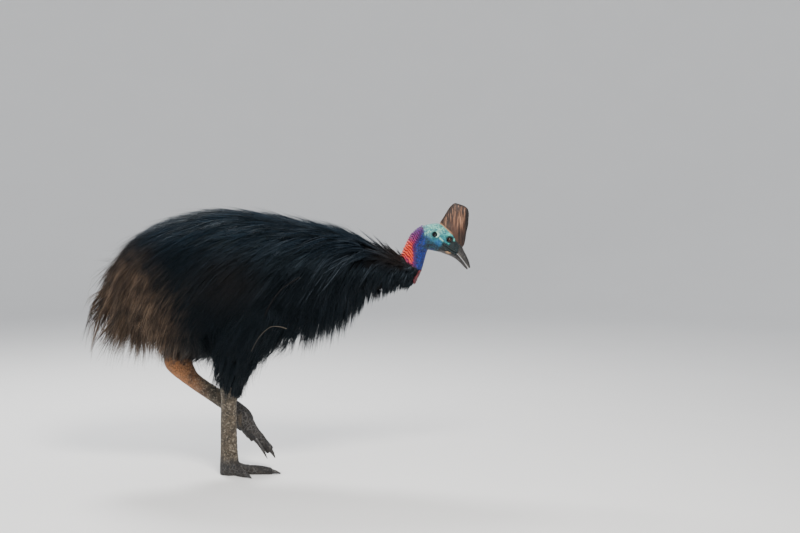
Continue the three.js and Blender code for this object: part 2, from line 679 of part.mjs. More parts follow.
// Neck, head and bill
bird.add(placed("neck", without(neckLoft(), headLoft(GAP), neckRoom), NECK_SKIN));
bird.add(placed("head", headNode(), HEAD_SKIN));
bird.add(placed("casque", without(loft(CASQUE, CASQUE_MESH), headLoft(GAP), billUpper(GAP)), CASQUE_HORN));
const upperHalf = billUpper().intersect(billSide(true));
const lowerHalf = loft(BILL_LOWER, BILL_MESH).intersect(billSide(true));
bird.add(placed("bill_upper", without(upperHalf, nostril(-1), nostril(1)), BILL_HORN));
bird.add(placed("bill_lower", without(lowerHalf, billUpper(GAP)), BILL_HORN));

// Eyes, wattles and wings, on both sides
for (const [side, name] of [[-1, "right"], [1, "left"]]) {
  const wattle = loft(side < 0 ? mirrored(WATTLE) : WATTLE, WATTLE_MESH);
  bird.add(placed(`eye_${name}`, sphereAt({ ...EYE, y: side * EYE.y }, EYE.r), EYE_GLOSS));
  bird.add(placed(`wattle_${name}`, without(wattle, neckLoft(GAP), neckRoom), WATTLE_SKIN));
  bird.add(placed(`wing_${name}`, without(wingSolid(side), torsoRoom), QUILL_HORN));
}

// Legs: the right one stands, the left one is lifted
const floor = box([-WIDE, -WIDE, -WIDE], [WIDE, WIDE, 0]);
for (const [name, thigh, leg, cuts] of [
  ["right", THIGH_STANDING, TARSUS_STANDING, [floor]],
  ["left", THIGH_RAISED, TARSUS_RAISED, []],
]) {
  const thighRoom = roomOf((grow) => thighSolid(thigh, grow));
  bird.add(placed(`thigh_${name}`, without(thighSolid(thigh), ...trunkRoom), PLUMAGE));
  bird.add(placed(`tarsus_${name}`, without(shank(leg), thighRoom, ...trunkRoom, ...cuts), LEG_SKIN));
}
bird.add(...footNodes(FOOT_STANDING, shank(TARSUS_STANDING, GAP), [floor]));
bird.add(...footNodes(FOOT_RAISED, shank(TARSUS_RAISED, GAP), []));

export default bird;
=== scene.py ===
"""A life-size cassowary in mid-stride: skin, plumage, horn and scales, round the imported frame.

Shapes are worked out in millimetres, as in the frame's own drawing, and put into the meshes in metres.
The bird faces +X, its right side is -Y, and the floor is z = 0.
"""

import functools
import math

import bmesh
import bpy
import numpy as np
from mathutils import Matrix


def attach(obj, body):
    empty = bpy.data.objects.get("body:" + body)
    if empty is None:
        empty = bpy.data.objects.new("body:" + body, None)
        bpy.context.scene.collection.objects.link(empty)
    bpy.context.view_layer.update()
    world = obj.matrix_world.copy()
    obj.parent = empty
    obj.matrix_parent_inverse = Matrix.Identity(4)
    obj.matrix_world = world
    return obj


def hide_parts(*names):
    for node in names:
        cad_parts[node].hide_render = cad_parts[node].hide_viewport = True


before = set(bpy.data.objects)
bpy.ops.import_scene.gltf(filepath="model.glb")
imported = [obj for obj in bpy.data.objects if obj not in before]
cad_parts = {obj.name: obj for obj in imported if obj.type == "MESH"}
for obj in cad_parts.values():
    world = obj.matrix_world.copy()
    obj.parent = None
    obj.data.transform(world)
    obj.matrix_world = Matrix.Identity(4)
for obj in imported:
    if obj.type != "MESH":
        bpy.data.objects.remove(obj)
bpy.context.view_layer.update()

MM = 0.001
BODY = "root"

# Sizes and places shared with the solids, in millimetres
EYE = {"x": 837, "y": 25.5, "z": 905, "r": 10.5}
MOUTH = ((806, 893), (872, 849))
PAD = 22
WING = {"x": 335, "z": 800, "arm": 120, "drop": 70}
QUILL = {"count": 5, "length": 250, "thick": 5, "off": 33, "hang": 0.74}
PALE_QUILL = ((230, -172, 583), (205, -177, 591), (170, -183, 590), (132, -186, 557), (99, -185, 501))
SUNK = 4  # of a tuft's root under the skin

# The trunk from rump to collar: x, back height, belly height, half width
TRUNK = np.array(
    [
        (-405, 796, 780, 6), (-385, 838, 735, 52), (-340, 893, 690, 96), (-260, 950, 640, 130),
        (-150, 988, 592, 153), (-20, 1003, 556, 166), (110, 992, 556, 167), (230, 970, 588, 156),
        (340, 952, 632, 136), (440, 925, 672, 110), (530, 890, 702, 84), (600, 860, 722, 64),
        (650, 838, 736, 51), (685, 812, 744, 38), (708, 785, 762, 14),
    ],
    float,
)

# Sections of the other parts: x and z of the upper or front edge, x and z of the lower or rear edge, half
# width and y of the centre
NECK_AND_HEAD = [
    (628, 806, 684, 724, 33, 0), (645, 828, 711, 752, 35, 0), (660, 860, 732, 789, 36, 0),
    (674, 892, 743, 828, 34.5, 0), (688, 919, 750, 852, 34.5, 0), (708, 941, 756, 865, 36, 0),
    (738, 957, 767, 864, 39, 0), (783, 966, 782, 861, 41, 0), (812, 960, 806, 856, 38, 0),
    (842, 938, 826, 850, 31, 0), (868, 908, 842, 845, 23.5, 0), (884, 884, 858, 836, 17, 0),
]
BILL_UPPER = [
    (866, 912, 812, 888, 25, 0), (882, 889, 840, 871, 18.5, 0), (892, 865, 866, 852, 14.5, 0),
    (906, 838, 888, 828, 10.5, 0), (915, 814, 903, 807, 6.5, 0), (918, 796, 911, 794.5, 2.5, 0),
]
BILL_LOWER = [
    (812, 886, 790, 860, 24, 0), (838, 870, 826, 847, 20, 0), (865, 851, 852, 836, 14, 0),
    (887, 826.5, 878, 816, 9.5, 0), (901, 807, 893, 800, 6, 0), (909.5, 793, 905, 789, 2.5, 0),
]
CASQUE = [
    (878, 868, 815, 925, 15, 0), (893, 885, 802, 962, 19, 0), (901, 925, 821, 998, 16, 1),
    (908, 965, 836, 1023, 12.5, 2), (911, 1003, 850, 1038, 9, 3), (903, 1030, 863, 1044, 5, 4),
]
WATTLE = [
    (731, 795, 716, 786, 8, 16), (729, 783, 712, 774, 9, 19), (720, 768, 703, 760, 9, 21),
    (714, 750, 699, 746, 8, 22), (708, 737, 702, 735, 4, 22),
]
THIGHS = {
    "right": [
        (204, 580, 60, 680, 66, -96), (142, 500, 12, 600, 68, -94), (95, 438, -18, 522, 58, -84),
        (67, 391, -29, 452, 47, -68), (47, 353, -34, 392, 36, -52), (42, 326, -33, 350, 29, -43),
    ],
    "left": [
        (60, 680, 150, 560, 66, 96), (-40, 650, 50, 505, 68, 98), (-120, 600, -60, 470, 58, 98),
        (-188, 548, -134, 448, 47, 93), (-236, 505, -168, 440, 37, 88), (-256, 476, -176, 440, 31, 86),
    ],
}
SHANKS = {
    "right": [
        (48, 356, -37, 374, 29, -48), (43, 324, -35, 332, 31, -41), (26, 286, -33, 288, 25, -33),
        (23, 200, -37, 200, 22.5, -20), (24, 102, -40, 102, 23.5, -6), (28, 50, -43, 50, 28, 0),
        (36, 14, -44, 12, 33, 0), (34, -16, -42, -16, 31, 0),
    ],
    "left": [
        (-176, 492, -262, 474, 24, 87), (-166, 448, -268, 424, 31, 86), (-152, 402, -246, 384, 30, 85),
        (-128, 368, -168, 324, 24, 83), (-46, 312, -80, 264, 22.5, 80), (18, 270, -18, 218, 24, 77),
        (62, 234, 6, 172, 30, 75), (82, 196, 34, 150, 29, 74),
    ],
}

# Toes and claws in a toe's own frame: from the pad's centre along +X, sole at z = 0
TOES = {
    "middle": {
        "rows": [(-8, 50, -8, -5, 22, 0), (30, 42, 30, -5, 19, 0), (70, 32, 70, -4, 15.5, 0),
                 (112, 26, 112, -4, 13.5, 0), (148, 22, 150, -3, 11.5, 0), (160, 13, 160, 3, 5, 0)],
        "turn": 0, "claw": "short", "claw_at": 152, "scutes": 17, "droop": 0,
    },
    "outer": {
        "rows": [(-8, 42, -8, -5, 19, 0), (24, 34, 24, -5, 16.5, 0), (54, 26, 54, -4, 13.5, 0),
                 (80, 21, 82, -3, 11, 0), (90, 12, 90, 4, 5, 0)],
        "turn": -1, "claw": "short", "claw_at": 82, "scutes": 11, "droop": 20,
    },
    "inner": {
        "rows": [(-8, 42, -8, -5, 20, 0), (24, 35, 24, -5, 17.5, 0), (54, 29, 54, -4, 15, 0),
                 (76, 25, 78, -3, 12.5, 0), (86, 15, 86, 5, 6, 0)],
        "turn": 1, "claw": "dagger", "claw_at": 78, "scutes": 11, "droop": 5,
    },
}
CLAWS = {
    "short": [(-16, 19, -16, 4, 7, 0), (0, 20, 0, 3, 8, 0), (20, 15, 19, 2.5, 6, 0),
              (40, 3, 37, 0.8, 1.3, 0)],
    "dagger": [(-14, 23, -14, 5, 8.5, 0), (4, 24, 4, 4, 9, 0), (36, 20, 36, 5, 7, 0), (70, 12, 69, 3, 4, 0),
               (98, 3, 97, 1, 1, 0)],
}
FEET = {
    "right": {"inward": 1, "at": (0, 0, 0), "pitch": 0, "splay": {"middle": 0, "outer": 44, "inner": 38}},
    "left": {"inward": -1, "at": (42, 74, 196), "pitch": 45,
             "splay": {"middle": 0, "outer": 36, "inner": 14}},
}


def smoothstep(value, low, high):
    """0 below low, 1 above high, and the cubic 3k^2 - 2k^3 of the share k between them."""
    k = np.clip((np.asarray(value, float) - low) / (high - low), 0, 1)
    return k * k * (3 - 2 * k)


def lerp(a, b, share):
    return a + (b - a) * share


def ease(a, b, value, low, high):
    """a where value is below low, b where it is above high, smooth between."""
    return lerp(a, b, smoothstep(value, low, high))


def swell(distance, width):
    """1 at no distance, falling as exp(-(distance / width)^2)."""
    return np.exp(-((distance / width) ** 2))


def along(values, t):
    """A Catmull-Rom curve through equally spaced values, read at each t from 0 to 1."""
    values = np.asarray(values, float)
    last = len(values) - 1
    place = np.clip(t, 0, 1) * last
    i = np.minimum(place.astype(int), last - 1)
    f = place - i
    before, here, there, after = (values[np.clip(i + k, 0, last)] for k in (-1, 0, 1, 2))
    leave, arrive = (there - before) / 2, (after - here) / 2
    return (
        here * (1 + 2 * f) * (1 - f) ** 2 + leave * f * (1 - f) ** 2
        + there * f * f * (3 - 2 * f) + arrive * f * f * (f - 1)
    )


def unit(v):
    return v / np.maximum(np.linalg.norm(v, axis=-1, keepdims=True), 1e-9)


def noise(points, scale, seed=0, octaves=3):
    """Smooth noise from -1 to 1: sums of sines of the place along random directions, each octave finer
    and fainter than the last."""
    draw = np.random.default_rng(seed)
    total, weight = np.zeros(points.shape[:-1]), 0
    for octave in range(octaves):
        share = 0.55**octave
        for _ in range(5):
            way = unit(draw.normal(size=3)) * 2 * math.pi * 2**octave / scale * draw.uniform(0.7, 1.3)
            total += share * np.sin(points @ way + draw.uniform(0, 2 * math.pi))
        weight += share * 2.2
    return total / weight


# Meshes


def finished(name, mesh, material, nodes=()):
    """A mesh as a piece of the bird at the origin: on the body, in place of its nodes."""
    mesh.polygons.foreach_set("use_smooth", np.full(len(mesh.polygons), True))
    piece = bpy.data.objects.new(name, mesh)
    bpy.context.collection.objects.link(piece)
    mesh.materials.append(material)
    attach(piece, BODY)
    if nodes:
        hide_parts(*nodes)
    return piece


def own_piece(name, grid, material):
    """A piece of one tube, in place of the node that has its name."""
    return finished(name, mesh_of(name, [grid]), material, (name,))


def outward(mesh):
    """Turns every face of a closed mesh outwards."""
    work = bmesh.new()
    work.from_mesh(mesh)
    bmesh.ops.recalc_face_normals(work, faces=work.faces)
    work.to_mesh(mesh)
    work.free()
    return mesh


def tube_quads(rings, around):
    """Quads between the rings of a tube whose points are numbered ring by ring."""
    i = np.arange(rings - 1)[:, None] * around
    j = np.arange(around)
    k = (j + 1) % around
    return np.stack([i + j, i + k, i + around + k, i + around + j], -1).reshape(-1, 4)


def tube_faces(rings, around):
    """A tube's quads, and triangles to a pole at each end. The two poles come after the rings' points."""
    first = rings * around
    top = first - around
    faces = tube_quads(rings, around).tolist()
    for j in range(around):
        k = (j + 1) % around
        faces += [(first, k, j), (first + 1, top + j, top + k)]
    return faces


def mesh_of(name, tubes, ridges=None):
    """One mesh from closed tubes, each a (rings, around, 3) grid in millimetres whose ends close on their
    centres. ridges, if given, is kept on the vertices as the attribute "ridge"."""
    points, faces, base = [], [], 0
    for grid in tubes:
        rings, around, _ = grid.shape
        poles = np.stack([grid[0].mean(0), grid[-1].mean(0)])
        points.append(np.concatenate([grid.reshape(-1, 3), poles]))
        faces += [[v + base for v in face] for face in tube_faces(rings, around)]
        base += rings * around + 2
    mesh = bpy.data.meshes.new(name)
    mesh.from_pydata((np.concatenate(points) * MM).tolist(), [], faces)
    if ridges is not None:
        kept = np.append(ridges.ravel(), [0.5, 0.5]).astype(np.float32)
        mesh.attributes.new("ridge", "FLOAT", "POINT").data.foreach_set("value", kept)
    return outward(mesh)


def sections(rows, t):
    """A loft's centre, half vector to its upper edge and half width at each t, as arrays."""
    top_x, top_z, low_x, low_z, half, y = (along(column, t) for column in np.asarray(rows, float).T)
    centre = np.stack([(top_x + low_x) / 2, y, (top_z + low_z) / 2], -1)
    rise = np.stack([(top_x - low_x) / 2, np.zeros_like(y), (top_z - low_z) / 2], -1)
    return centre, rise, half


def loft(rows, rings, around, blunt=0.06, relief=None, grow=0):
    """Sections carried along a path: centre + cap (rise cos a + half sin a), with
    cap = sqrt(1 - (1 - e/blunt)^2) where e, the share of the way to the nearer end, is less than blunt.
    relief(points, t, a) is added along the outward normal, and grow to both half sizes."""
    t = np.linspace(0, 1, rings)
    ends = np.minimum(t, 1 - t)
    a = np.linspace(0, 2 * math.pi, around, endpoint=False)
    centre, rise, half = sections(rows, t)
    cap = np.where(ends < blunt, np.sqrt(np.clip(1 - (1 - ends / blunt) ** 2, 0.0004, 1)), 1.0)
    length = np.linalg.norm(rise, axis=-1, keepdims=True)
    rise = rise * (length + grow) / length
    points = centre[:, None] + (cap[:, None] * np.cos(a))[..., None] * rise[:, None]
    points[..., 1] += cap[:, None] * np.sin(a) * (half + grow)[:, None]
    if relief is None:
        return points
    normal = normals_of(points, centre)
    return points + normal * (relief(points, t[:, None], a[None, :]) * cap[:, None])[..., None]


def normals_of(points, centre):
    """Outward normals of a tube's grid: the cross product of its two directions, turned from the centre."""
    around = np.roll(points, -1, 1) - np.roll(points, 1, 1)
    lengthways = np.gradient(points, axis=0)
    normal = unit(np.cross(around, lengthways))
    side = np.sign(np.sum(normal * (points - centre[:, None]), -1, keepdims=True))
    return normal * np.where(side == 0, 1, side)


def remeshed(mesh, voxel, smoothing=2):
    """Tubes that overlap, fused into one even surface by a voxel remesh, then smoothed a little."""
    piece = bpy.data.objects.new("fusing", mesh)
    bpy.context.collection.objects.link(piece)
    remesh = piece.modifiers.new("fuse", "REMESH")
    remesh.mode, remesh.voxel_size, remesh.use_smooth_shade = "VOXEL", voxel * MM, True
    smooth = piece.modifiers.new("even", "SMOOTH")
    smooth.factor, smooth.iterations = 0.5, smoothing
    made = bpy.data.meshes.new_from_object(piece.evaluated_get(bpy.context.evaluated_depsgraph_get()))
    bpy.data.objects.remove(piece)
    return made


# Shader maths


class Value:
    """A shader socket on which +, -, * and ** add Math nodes, also with a plain number on either side."""

    def __init__(self, shader, socket):
        self.shader, self.socket = shader, socket

    def _math(self, operation, *values):
        return self.shader.node("ShaderNodeMath", {"operation": operation}, *values)

    def __add__(self, other):
        return self._math("ADD", self, other)

    def __sub__(self, other):
        return self._math("SUBTRACT", self, other)

    def __rsub__(self, other):
        return self._math("SUBTRACT", other, self)

    def __mul__(self, other):
        return self._math("MULTIPLY", self, other)

    def __pow__(self, other):
        return self._math("POWER", self, other)

    def sine(self):
        return self._math("SINE", self)

    def absolute(self):
        return self._math("ABSOLUTE", self)

    def most(self, other):
        return self._math("MAXIMUM", self, other)

    def step(self, low, high):
        """0 at low, 1 at high, smooth between them."""
        settings = {"interpolation_type": "SMOOTHSTEP"}
        return self.shader.node("ShaderNodeMapRange", settings, self, low, high, 0.0, 1.0)

    __radd__, __rmul__ = __add__, __mul__


class Shader:
    """A material's node tree round one Principled BSDF, whose constants are set on its own sockets."""

    def __init__(self, name, **constants):
        self.material = bpy.data.materials.new(name)
        self.material.use_nodes = True
        self.tree = self.material.node_tree
        self.surface = self.tree.nodes["Principled BSDF"]
        for socket, value in constants.items():
            self.surface.inputs[socket.replace("_", " ")].default_value = value
        self.place = self.node("ShaderNodeTexCoord", {}, output="Object")

    def fill(self, socket, value):
        """Links a shader value to a socket, or sets a plain one on it."""
        if isinstance(value, Value):
            self.tree.links.new(value.socket, socket)
        elif value is not None:
            socket.default_value = value

    def node(self, kind, settings, *values, output=0, **named):
        """A node of a type, with its settings made first and its sockets filled in order or by name."""
        made = self.tree.nodes.new(kind)
        for key, value in settings.items():
            setattr(made, key, value)
        for key, value in [*enumerate(values), *named.items()]:
            self.fill(made.inputs[key], value)
        return Value(self, made.outputs[output])

    @functools.cached_property
    def xyz(self):
        """The place on the bird, in metres, as its x, y and z."""
        apart = self.tree.nodes.new("ShaderNodeSeparateXYZ")
        self.fill(apart.inputs[0], self.place)
        return [Value(self, output) for output in apart.outputs]

    def attribute(self, name):
        return self.node("ShaderNodeAttribute", {"attribute_name": name}, output="Fac")

    def stretched(self, stretch, turn=0.0):
        """Object coordinates, stretched along the bird's axes after a turn about y."""
        return self.node("ShaderNodeMapping", {}, self.place, None, (0, turn, 0), stretch)

    def grain(self, scale, detail=3.0, stretch=(1, 1, 1), turn=0.0):
        """Noise from 0 to 1."""
        spot = self.stretched(stretch, turn)
        return self.node("ShaderNodeTexNoise", {}, Vector=spot, Scale=scale, Detail=detail)

    def cells(self, scale, feature="DISTANCE_TO_EDGE", stretch=(1, 1, 1)):
        """Voronoi cells: the distance to their edges, or with F1 to their middles."""
        spot = self.stretched(stretch)
        return self.node("ShaderNodeTexVoronoi", {"feature": feature}, Vector=spot, Scale=scale)

    def mix(self, share, first, second):
        """A colour between two colours."""
        made = self.tree.nodes.new("ShaderNodeMix")
        made.data_type = "RGBA"
        self.fill(made.inputs[0], share)
        for key, colour in ((6, first), (7, second)):
            self.fill(made.inputs[key], colour if isinstance(colour, Value) else (*colour, 1))
        return Value(self, made.outputs[2])

    def over(self, colour, *layers):
        """A colour with layers laid over it in turn, each a mask and the layer's own colour."""
        for mask, layer in layers:
            colour = self.mix(mask, colour, layer)
        return colour

    def near(self, x, z, radius, soft=0.5):
        """1 close to a place given in millimetres of the side view, falling to 0 at the radius."""
        px, _, pz = self.xyz
        far = ((px - x * MM) ** 2.0 + (pz - z * MM) ** 2.0) ** 0.5
        return 1 - far.step(radius * (1 - soft) * MM, radius * MM)

    def spots(self, rows):
        """Layers of round spots, from rows of x, z, radius, the radius's soft share, strength and colour."""
        return [(self.near(*row[:4]) * row[4], row[5]) for row in rows]

    def finish(self, colour, roughness, height=None, depth=0.0004):
        """Links the colour, the roughness and a bump of the given depth in metres."""
        self.fill(self.surface.inputs["Base Color"], colour)
        self.fill(self.surface.inputs["Roughness"], roughness)
        if height is not None:
            sizes = {"Strength": 1.0, "Distance": depth, "Height": height}
            bump = self.node("ShaderNodeBump", {}, output="Normal", **sizes)
            self.fill(self.surface.inputs["Normal"], bump)
        return self.material


# Finishes

BLACK, SOOT, SHEEN_BLUE = (0.0010, 0.0014, 0.0020), (0.0062, 0.0082, 0.0112), (0.012, 0.025, 0.042)
UMBER, SUNBURNT, STRAW = (0.032, 0.021, 0.015), (0.182, 0.120, 0.080), (0.34, 0.24, 0.16)
COBALT, DEEP_BLUE, NAVY = (0.006, 0.040, 0.33), (0.005, 0.018, 0.15), (0.004, 0.006, 0.020)
TURQUOISE, PALE_GREEN, TEAL = (0.040, 0.35, 0.31), (0.28, 0.60, 0.44), (0.010, 0.14, 0.23)
VERMILION, ORANGE, MAGENTA = (0.66, 0.030, 0.008), (0.76, 0.085, 0.018), (0.16, 0.010, 0.075)
CREASE_SHADE_RED, INK, BRIGHT_TEAL = (0.16, 0.006, 0.008), (0.004, 0.005, 0.007), (0.10, 0.55, 0.47)
STRAND_GREY, PURPLE, VIOLET = (0.044, 0.053, 0.064), (0.22, 0.014, 0.10), (0.075, 0.018, 0.15)
PLUM, CREASE_SHADE_PLUM, CHEEK_BLUE = (0.05, 0.006, 0.07), (0.045, 0.006, 0.045), (0.006, 0.055, 0.21)

# Spots of colour and of painted shade on the head: x, z, radius, the radius's soft share, strength and
# colour
CHEEK_SPOTS = (
    (790, 891, 27, 0.8, 0.8, CHEEK_BLUE),
    (748, 905, 30, 0.7, 0.75, DEEP_BLUE),  # rear of the cheek
)
EYE_AND_EAR_SPOTS = (
    (855, 905, 8, 0.6, 0.7, BRIGHT_TEAL),  # corner ahead of the eye
    (836, 921, 15, 0.5, 0.85, BRIGHT_TEAL),  # brow
    (828, 917, 9, 0.5, 0.6, (0.008, 0.06, 0.07)),  # painted shade under the brow
    (838, 907, 17, 0.35, 0.97, INK),  # lids
    (782, 923, 23, 0.5, 0.85, (0.007, 0.085, 0.10)),  # round the ear
    (787.5, 926, 12.5, 0.28, 0.9, (0.42, 0.74, 0.58)),  # crescent ahead of the ear
    (781, 926, 11.5, 0.22, 1.0, (0.002, 0.002, 0.003)),  # painted shade in the ear's opening
)


def plumage_colour(s, tone):
    """Near black, blue-grey where the back catches light, and umber to sunburnt on the rump."""
    x, _, z = s.xyz
    back = z.step(0.74, 0.98) * (1 - x.step(0.5, 0.7)) * x.step(-0.6, -0.28)
    front = x.step(0.05, 0.25) * z.step(0.62, 0.75)
    collar = x.step(0.50, 0.66) * z.step(0.78, 0.84) * 0.6
    rump = (1 - (x + (z - 0.7) * 0.25).step(-0.34, -0.17)) * (1 - z.step(0.74, 0.95))
    upper = (1 - x.step(-0.42, -0.22)) * 0.28
    flank = s.near(0, 755, 190, 0.95) * 0.25
    return s.over(
        s.mix(tone, BLACK, SOOT),
        (back * tone.step(0.2, 1.0) * 0.8, SHEEN_BLUE),
        (front * tone.step(0.76, 0.94) * 0.85, STRAND_GREY),
        (rump.most(upper).most(flank).most(collar) * s.grain(9.0, 3.0).step(0.15, 0.55), UMBER),
        (rump * tone.step(0.25, 0.95) * s.grain(16.0, 2.0).step(0.3, 0.65), SUNBURNT),
    )


def plumage_finish():
    """Strands: the plumage's colour, each strand a shade of its own, with ends that bleach a little."""
    s = Shader("plumage", Specular_IOR_Level=0.2, Specular_Tint=(0.6, 0.84, 1.0, 1))
    tone, tip = s.attribute("tone"), s.attribute("along")
    colour = plumage_colour(s, tone)
    x, _, z = s.xyz
    ends = tip.step(0.5, 1.0) * tone.step(0.35, 0.95) * (1 - z.step(0.6, 0.85)) * (1 - x.step(-0.36, -0.05))
    colour = s.mix(ends * 0.7, colour, STRAW)
    return s.finish(colour, 0.34 + tone * 0.26)


def down_finish():
    """The skin under the plumage: the same markings, darker, with a fine lie."""
    s = Shader("down", Specular_IOR_Level=0.08)
    grain = s.grain(260.0, 2.0, (1, 1, 0.3), 0.7)
    return s.finish(plumage_colour(s, grain * 0.3), 0.9, grain, 0.0015)


def neck_colour(s, crease, mottle, fine, pebble):
    """Blue throat, and a vermilion nape that turns purple towards the skull. Creases are darkened with
    painted shade. The nape's colour ends on a line that runs down the side of the neck and jogs with the
    wrinkles."""
    x, _, z = s.xyz
    edge = (z - 0.885).most(0.0) * 0.55 + 0.7025
    ahead = x - edge + (crease - 0.5) * 0.007 + (mottle - 0.5) * 0.012
    high = (z + (x - 0.69) * 0.5).step(0.880, 0.915)
    nape = s.over(
        s.mix(fine.step(0.35, 0.7), VERMILION, ORANGE),
        (high, s.mix(z.step(0.905, 0.945), PURPLE, VIOLET)),
        # painted shade: darker red and plum in the valleys of the nape's wrinkles
        (1 - crease.step(0.30, 0.62), s.mix(high, CREASE_SHADE_RED, CREASE_SHADE_PLUM)),
        ((1 - z.step(0.810, 0.832)) * 0.85, MAGENTA),
    )
    return s.over(
        s.mix(mottle.step(0.3, 0.7), COBALT, DEEP_BLUE),
        (pebble * 0.72, NAVY),
        (1 - ahead.step(-0.005, 0.004), nape),
        ((1 - (ahead - 0.003).absolute().step(0.002, 0.009)) * 0.7, PLUM),
        (s.near(668, 826, 26, 0.8) * 0.7, MAGENTA),
    )


def head_colour(s, crease, mottle, fine):
    """Pale turquoise crown, teal cheek that is blue below, dark throat and lores, rings round eye and ear.
    rise is how far above the gape a place is, and ahead is how far along the bill."""
    x, _, z = s.xyz
    rise = x * 0.555 + z * 0.832
    ahead = x * 0.832 - z * 0.555
    crown = (z - x * 0.30).step(0.672, 0.700)
    freckles = s.near(812, 902, 24, 0.6) * s.grain(98.0, 3.0).step(0.47, 0.55)
    stripe = 1 - ((x - 0.795) * 0.669 + (z - 0.917) * 0.743).absolute().step(0.0012, 0.0040)
    throat = s.mix(s.grain(120.0, 3.0).step(0.44, 0.60), (0.003, 0.006, 0.013), (0.005, 0.038, 0.062))
    lores = ahead.step(0.198, 0.207).most((1 - rise.step(1.196, 1.206)) * ahead.step(0.172, 0.186))
    return s.over(
        s.mix(mottle.step(0.32, 0.68), TURQUOISE, TEAL),
        (crown * (0.3 + fine * 0.75), PALE_GREEN),
        (s.grain(170.0, 2.0).step(0.49, 0.56) * 0.8, (0.012, 0.14, 0.17)),
        (fine.step(0.46, 0.60) * (1 - crown * 0.5) * 0.6, (0.006, 0.07, 0.12)),
        (s.grain(76.0, 3.0).step(0.50, 0.60) * 0.5, (0.018, 0.17, 0.19)),
        (freckles * 0.75, (0.007, 0.075, 0.08)),
        (stripe * s.near(806, 907, 15, 0.5) * 0.8, PALE_GREEN),
        *s.spots(CHEEK_SPOTS),
        (s.near(764, 874, 32, 0.6) * 0.88, throat),
        ((1 - rise.step(1.168, 1.188)) * 0.9, s.mix(x.step(0.79, 0.815), throat, INK)),
        (lores * 0.96, (0.0065, 0.0058, 0.0055)),
        *s.spots(EYE_AND_EAR_SPOTS),
        # painted shade in the creases
        ((1 - crease.step(0.2, 0.5)) * 0.55, (0.004, 0.03, 0.04)),
    )


def bare_skin_finish():
    """Bare skin of the neck and head, pebbled, and black where the collar's plumage starts."""
    s = Shader("bare_skin", Specular_IOR_Level=0.3)
    x, _, z = s.xyz
    crease = s.attribute("ridge")
    pebble = s.cells(150.0, "F1").step(0.15, 0.62)
    small = s.cells(330.0, "F1").step(0.1, 0.7)
    mottle = s.grain(48.0, 4.0)
    fine = s.grain(210.0, 3.0)
    past_nape = (x - (z - 0.9) * 0.08 + (mottle - 0.5) * 0.035).step(0.728, 0.752)
    head = past_nape * z.step(0.862, 0.876).most(x.step(0.765, 0.785))
    collar = 1 - (x * 0.577 + z * 0.817 + (mottle - 0.5) * 0.02).step(1.056, 1.066)
    colour = s.over(
        neck_colour(s, crease, mottle, fine, pebble),
        (head, head_colour(s, crease, mottle, fine)),
        (collar * (1 - x.step(0.735, 0.74)), BLACK),
    )
    return s.finish(colour, 0.40 + fine * 0.22, (1 - pebble) * 0.6 + small * 0.3 + fine * 0.4, 0.0014)


def wattle_finish():
    s = Shader("wattle_skin", Specular_IOR_Level=0.5)
    mottle = s.grain(90.0, 4.0)
    colour = s.mix(mottle.step(0.3, 0.7), (0.095, 0.006, 0.010), (0.030, 0.003, 0.007))
    return s.finish(colour, 0.4 + mottle * 0.15, s.cells(520.0, "F1"), 0.0007)


def casque_finish():
    """Horn over bone: dark brown with paler streaks that run up the blade, black at its front, top and rear
    edges, and a tan line along its foot at the rear."""
    s = Shader("casque_horn", Specular_IOR_Level=0.3)
    x, _, z = s.xyz
    streak = s.grain(420.0, 3.0, (1, 0.25, 0.028), 0.34)
    broad = s.grain(40.0, 3.0, (1, 1, 0.3), 0.30)
    foot = (1 - (x * 0.65 + z * 0.76).step(1.2560, 1.2605)) * (1 - x.step(0.835, 0.855))
    colour = s.over(
        s.mix(broad.step(0.35, 0.7), (0.015, 0.0080, 0.006), (0.052, 0.022, 0.014)),
        (streak.step(0.53, 0.63) * (0.15 + z.step(0.93, 0.985) * 0.85), (0.33, 0.160, 0.090)),
        ((x - (z - 0.9) * 0.07).step(0.886, 0.900) * 0.92, (0.006, 0.005, 0.005)),
        ((z + (x - 0.88) * 0.30).step(1.026, 1.036) * 0.8, (0.012, 0.008, 0.007)),
        ((1 - (x * 0.845 - z * 0.534).step(0.1655, 0.1715)) * 0.75, (0.014, 0.009, 0.007)),
        (foot * 0.8, (0.40, 0.22, 0.12)),
    )
    return s.finish(colour, 0.44 + streak * 0.25, streak * 0.8 + broad * 0.3, 0.0012)


def bill_finish():
    """Dark horn, tan at the root of the lower half and paler along the cutting edge."""
    s = Shader("bill_horn", Specular_IOR_Level=0.5)
    x, _, z = s.xyz
    grain = s.grain(110.0, 4.0, (1, 1, 0.5), -0.7)
    edge = (1 - (x * 0.82 + z * 0.58 - 1.2090).absolute().step(0.0006, 0.0022)) * x.step(0.866, 0.876)
    colour = s.over(
        s.mix(grain.step(0.35, 0.7), (0.008, 0.0075, 0.0075), (0.030, 0.027, 0.026)),
        (edge * 0.75, (0.42, 0.38, 0.33)),
        (s.near(834, 863, 17, 0.7) * 0.75, (0.36, 0.20, 0.095)),
    )
    return s.finish(colour, 0.28 + grain * 0.2, grain, 0.0006)


def eye_finish():
    """A dark brown iris round a black pupil, under a clear coat."""
    s = Shader("eye", Specular_IOR_Level=0.28, Coat_Weight=0.06, Coat_Roughness=0.03)
    x, _, z = s.xyz
    far = ((x - EYE["x"] * MM) ** 2.0 + (z - EYE["z"] * MM) ** 2.0) ** 0.5
    iris = far.step(0.0036, 0.0042) * (1 - far.step(0.0058, 0.0066))
    colour = s.mix(iris, (0.002, 0.002, 0.002), (0.055, 0.019, 0.008))
    return s.finish(colour, 0.12)


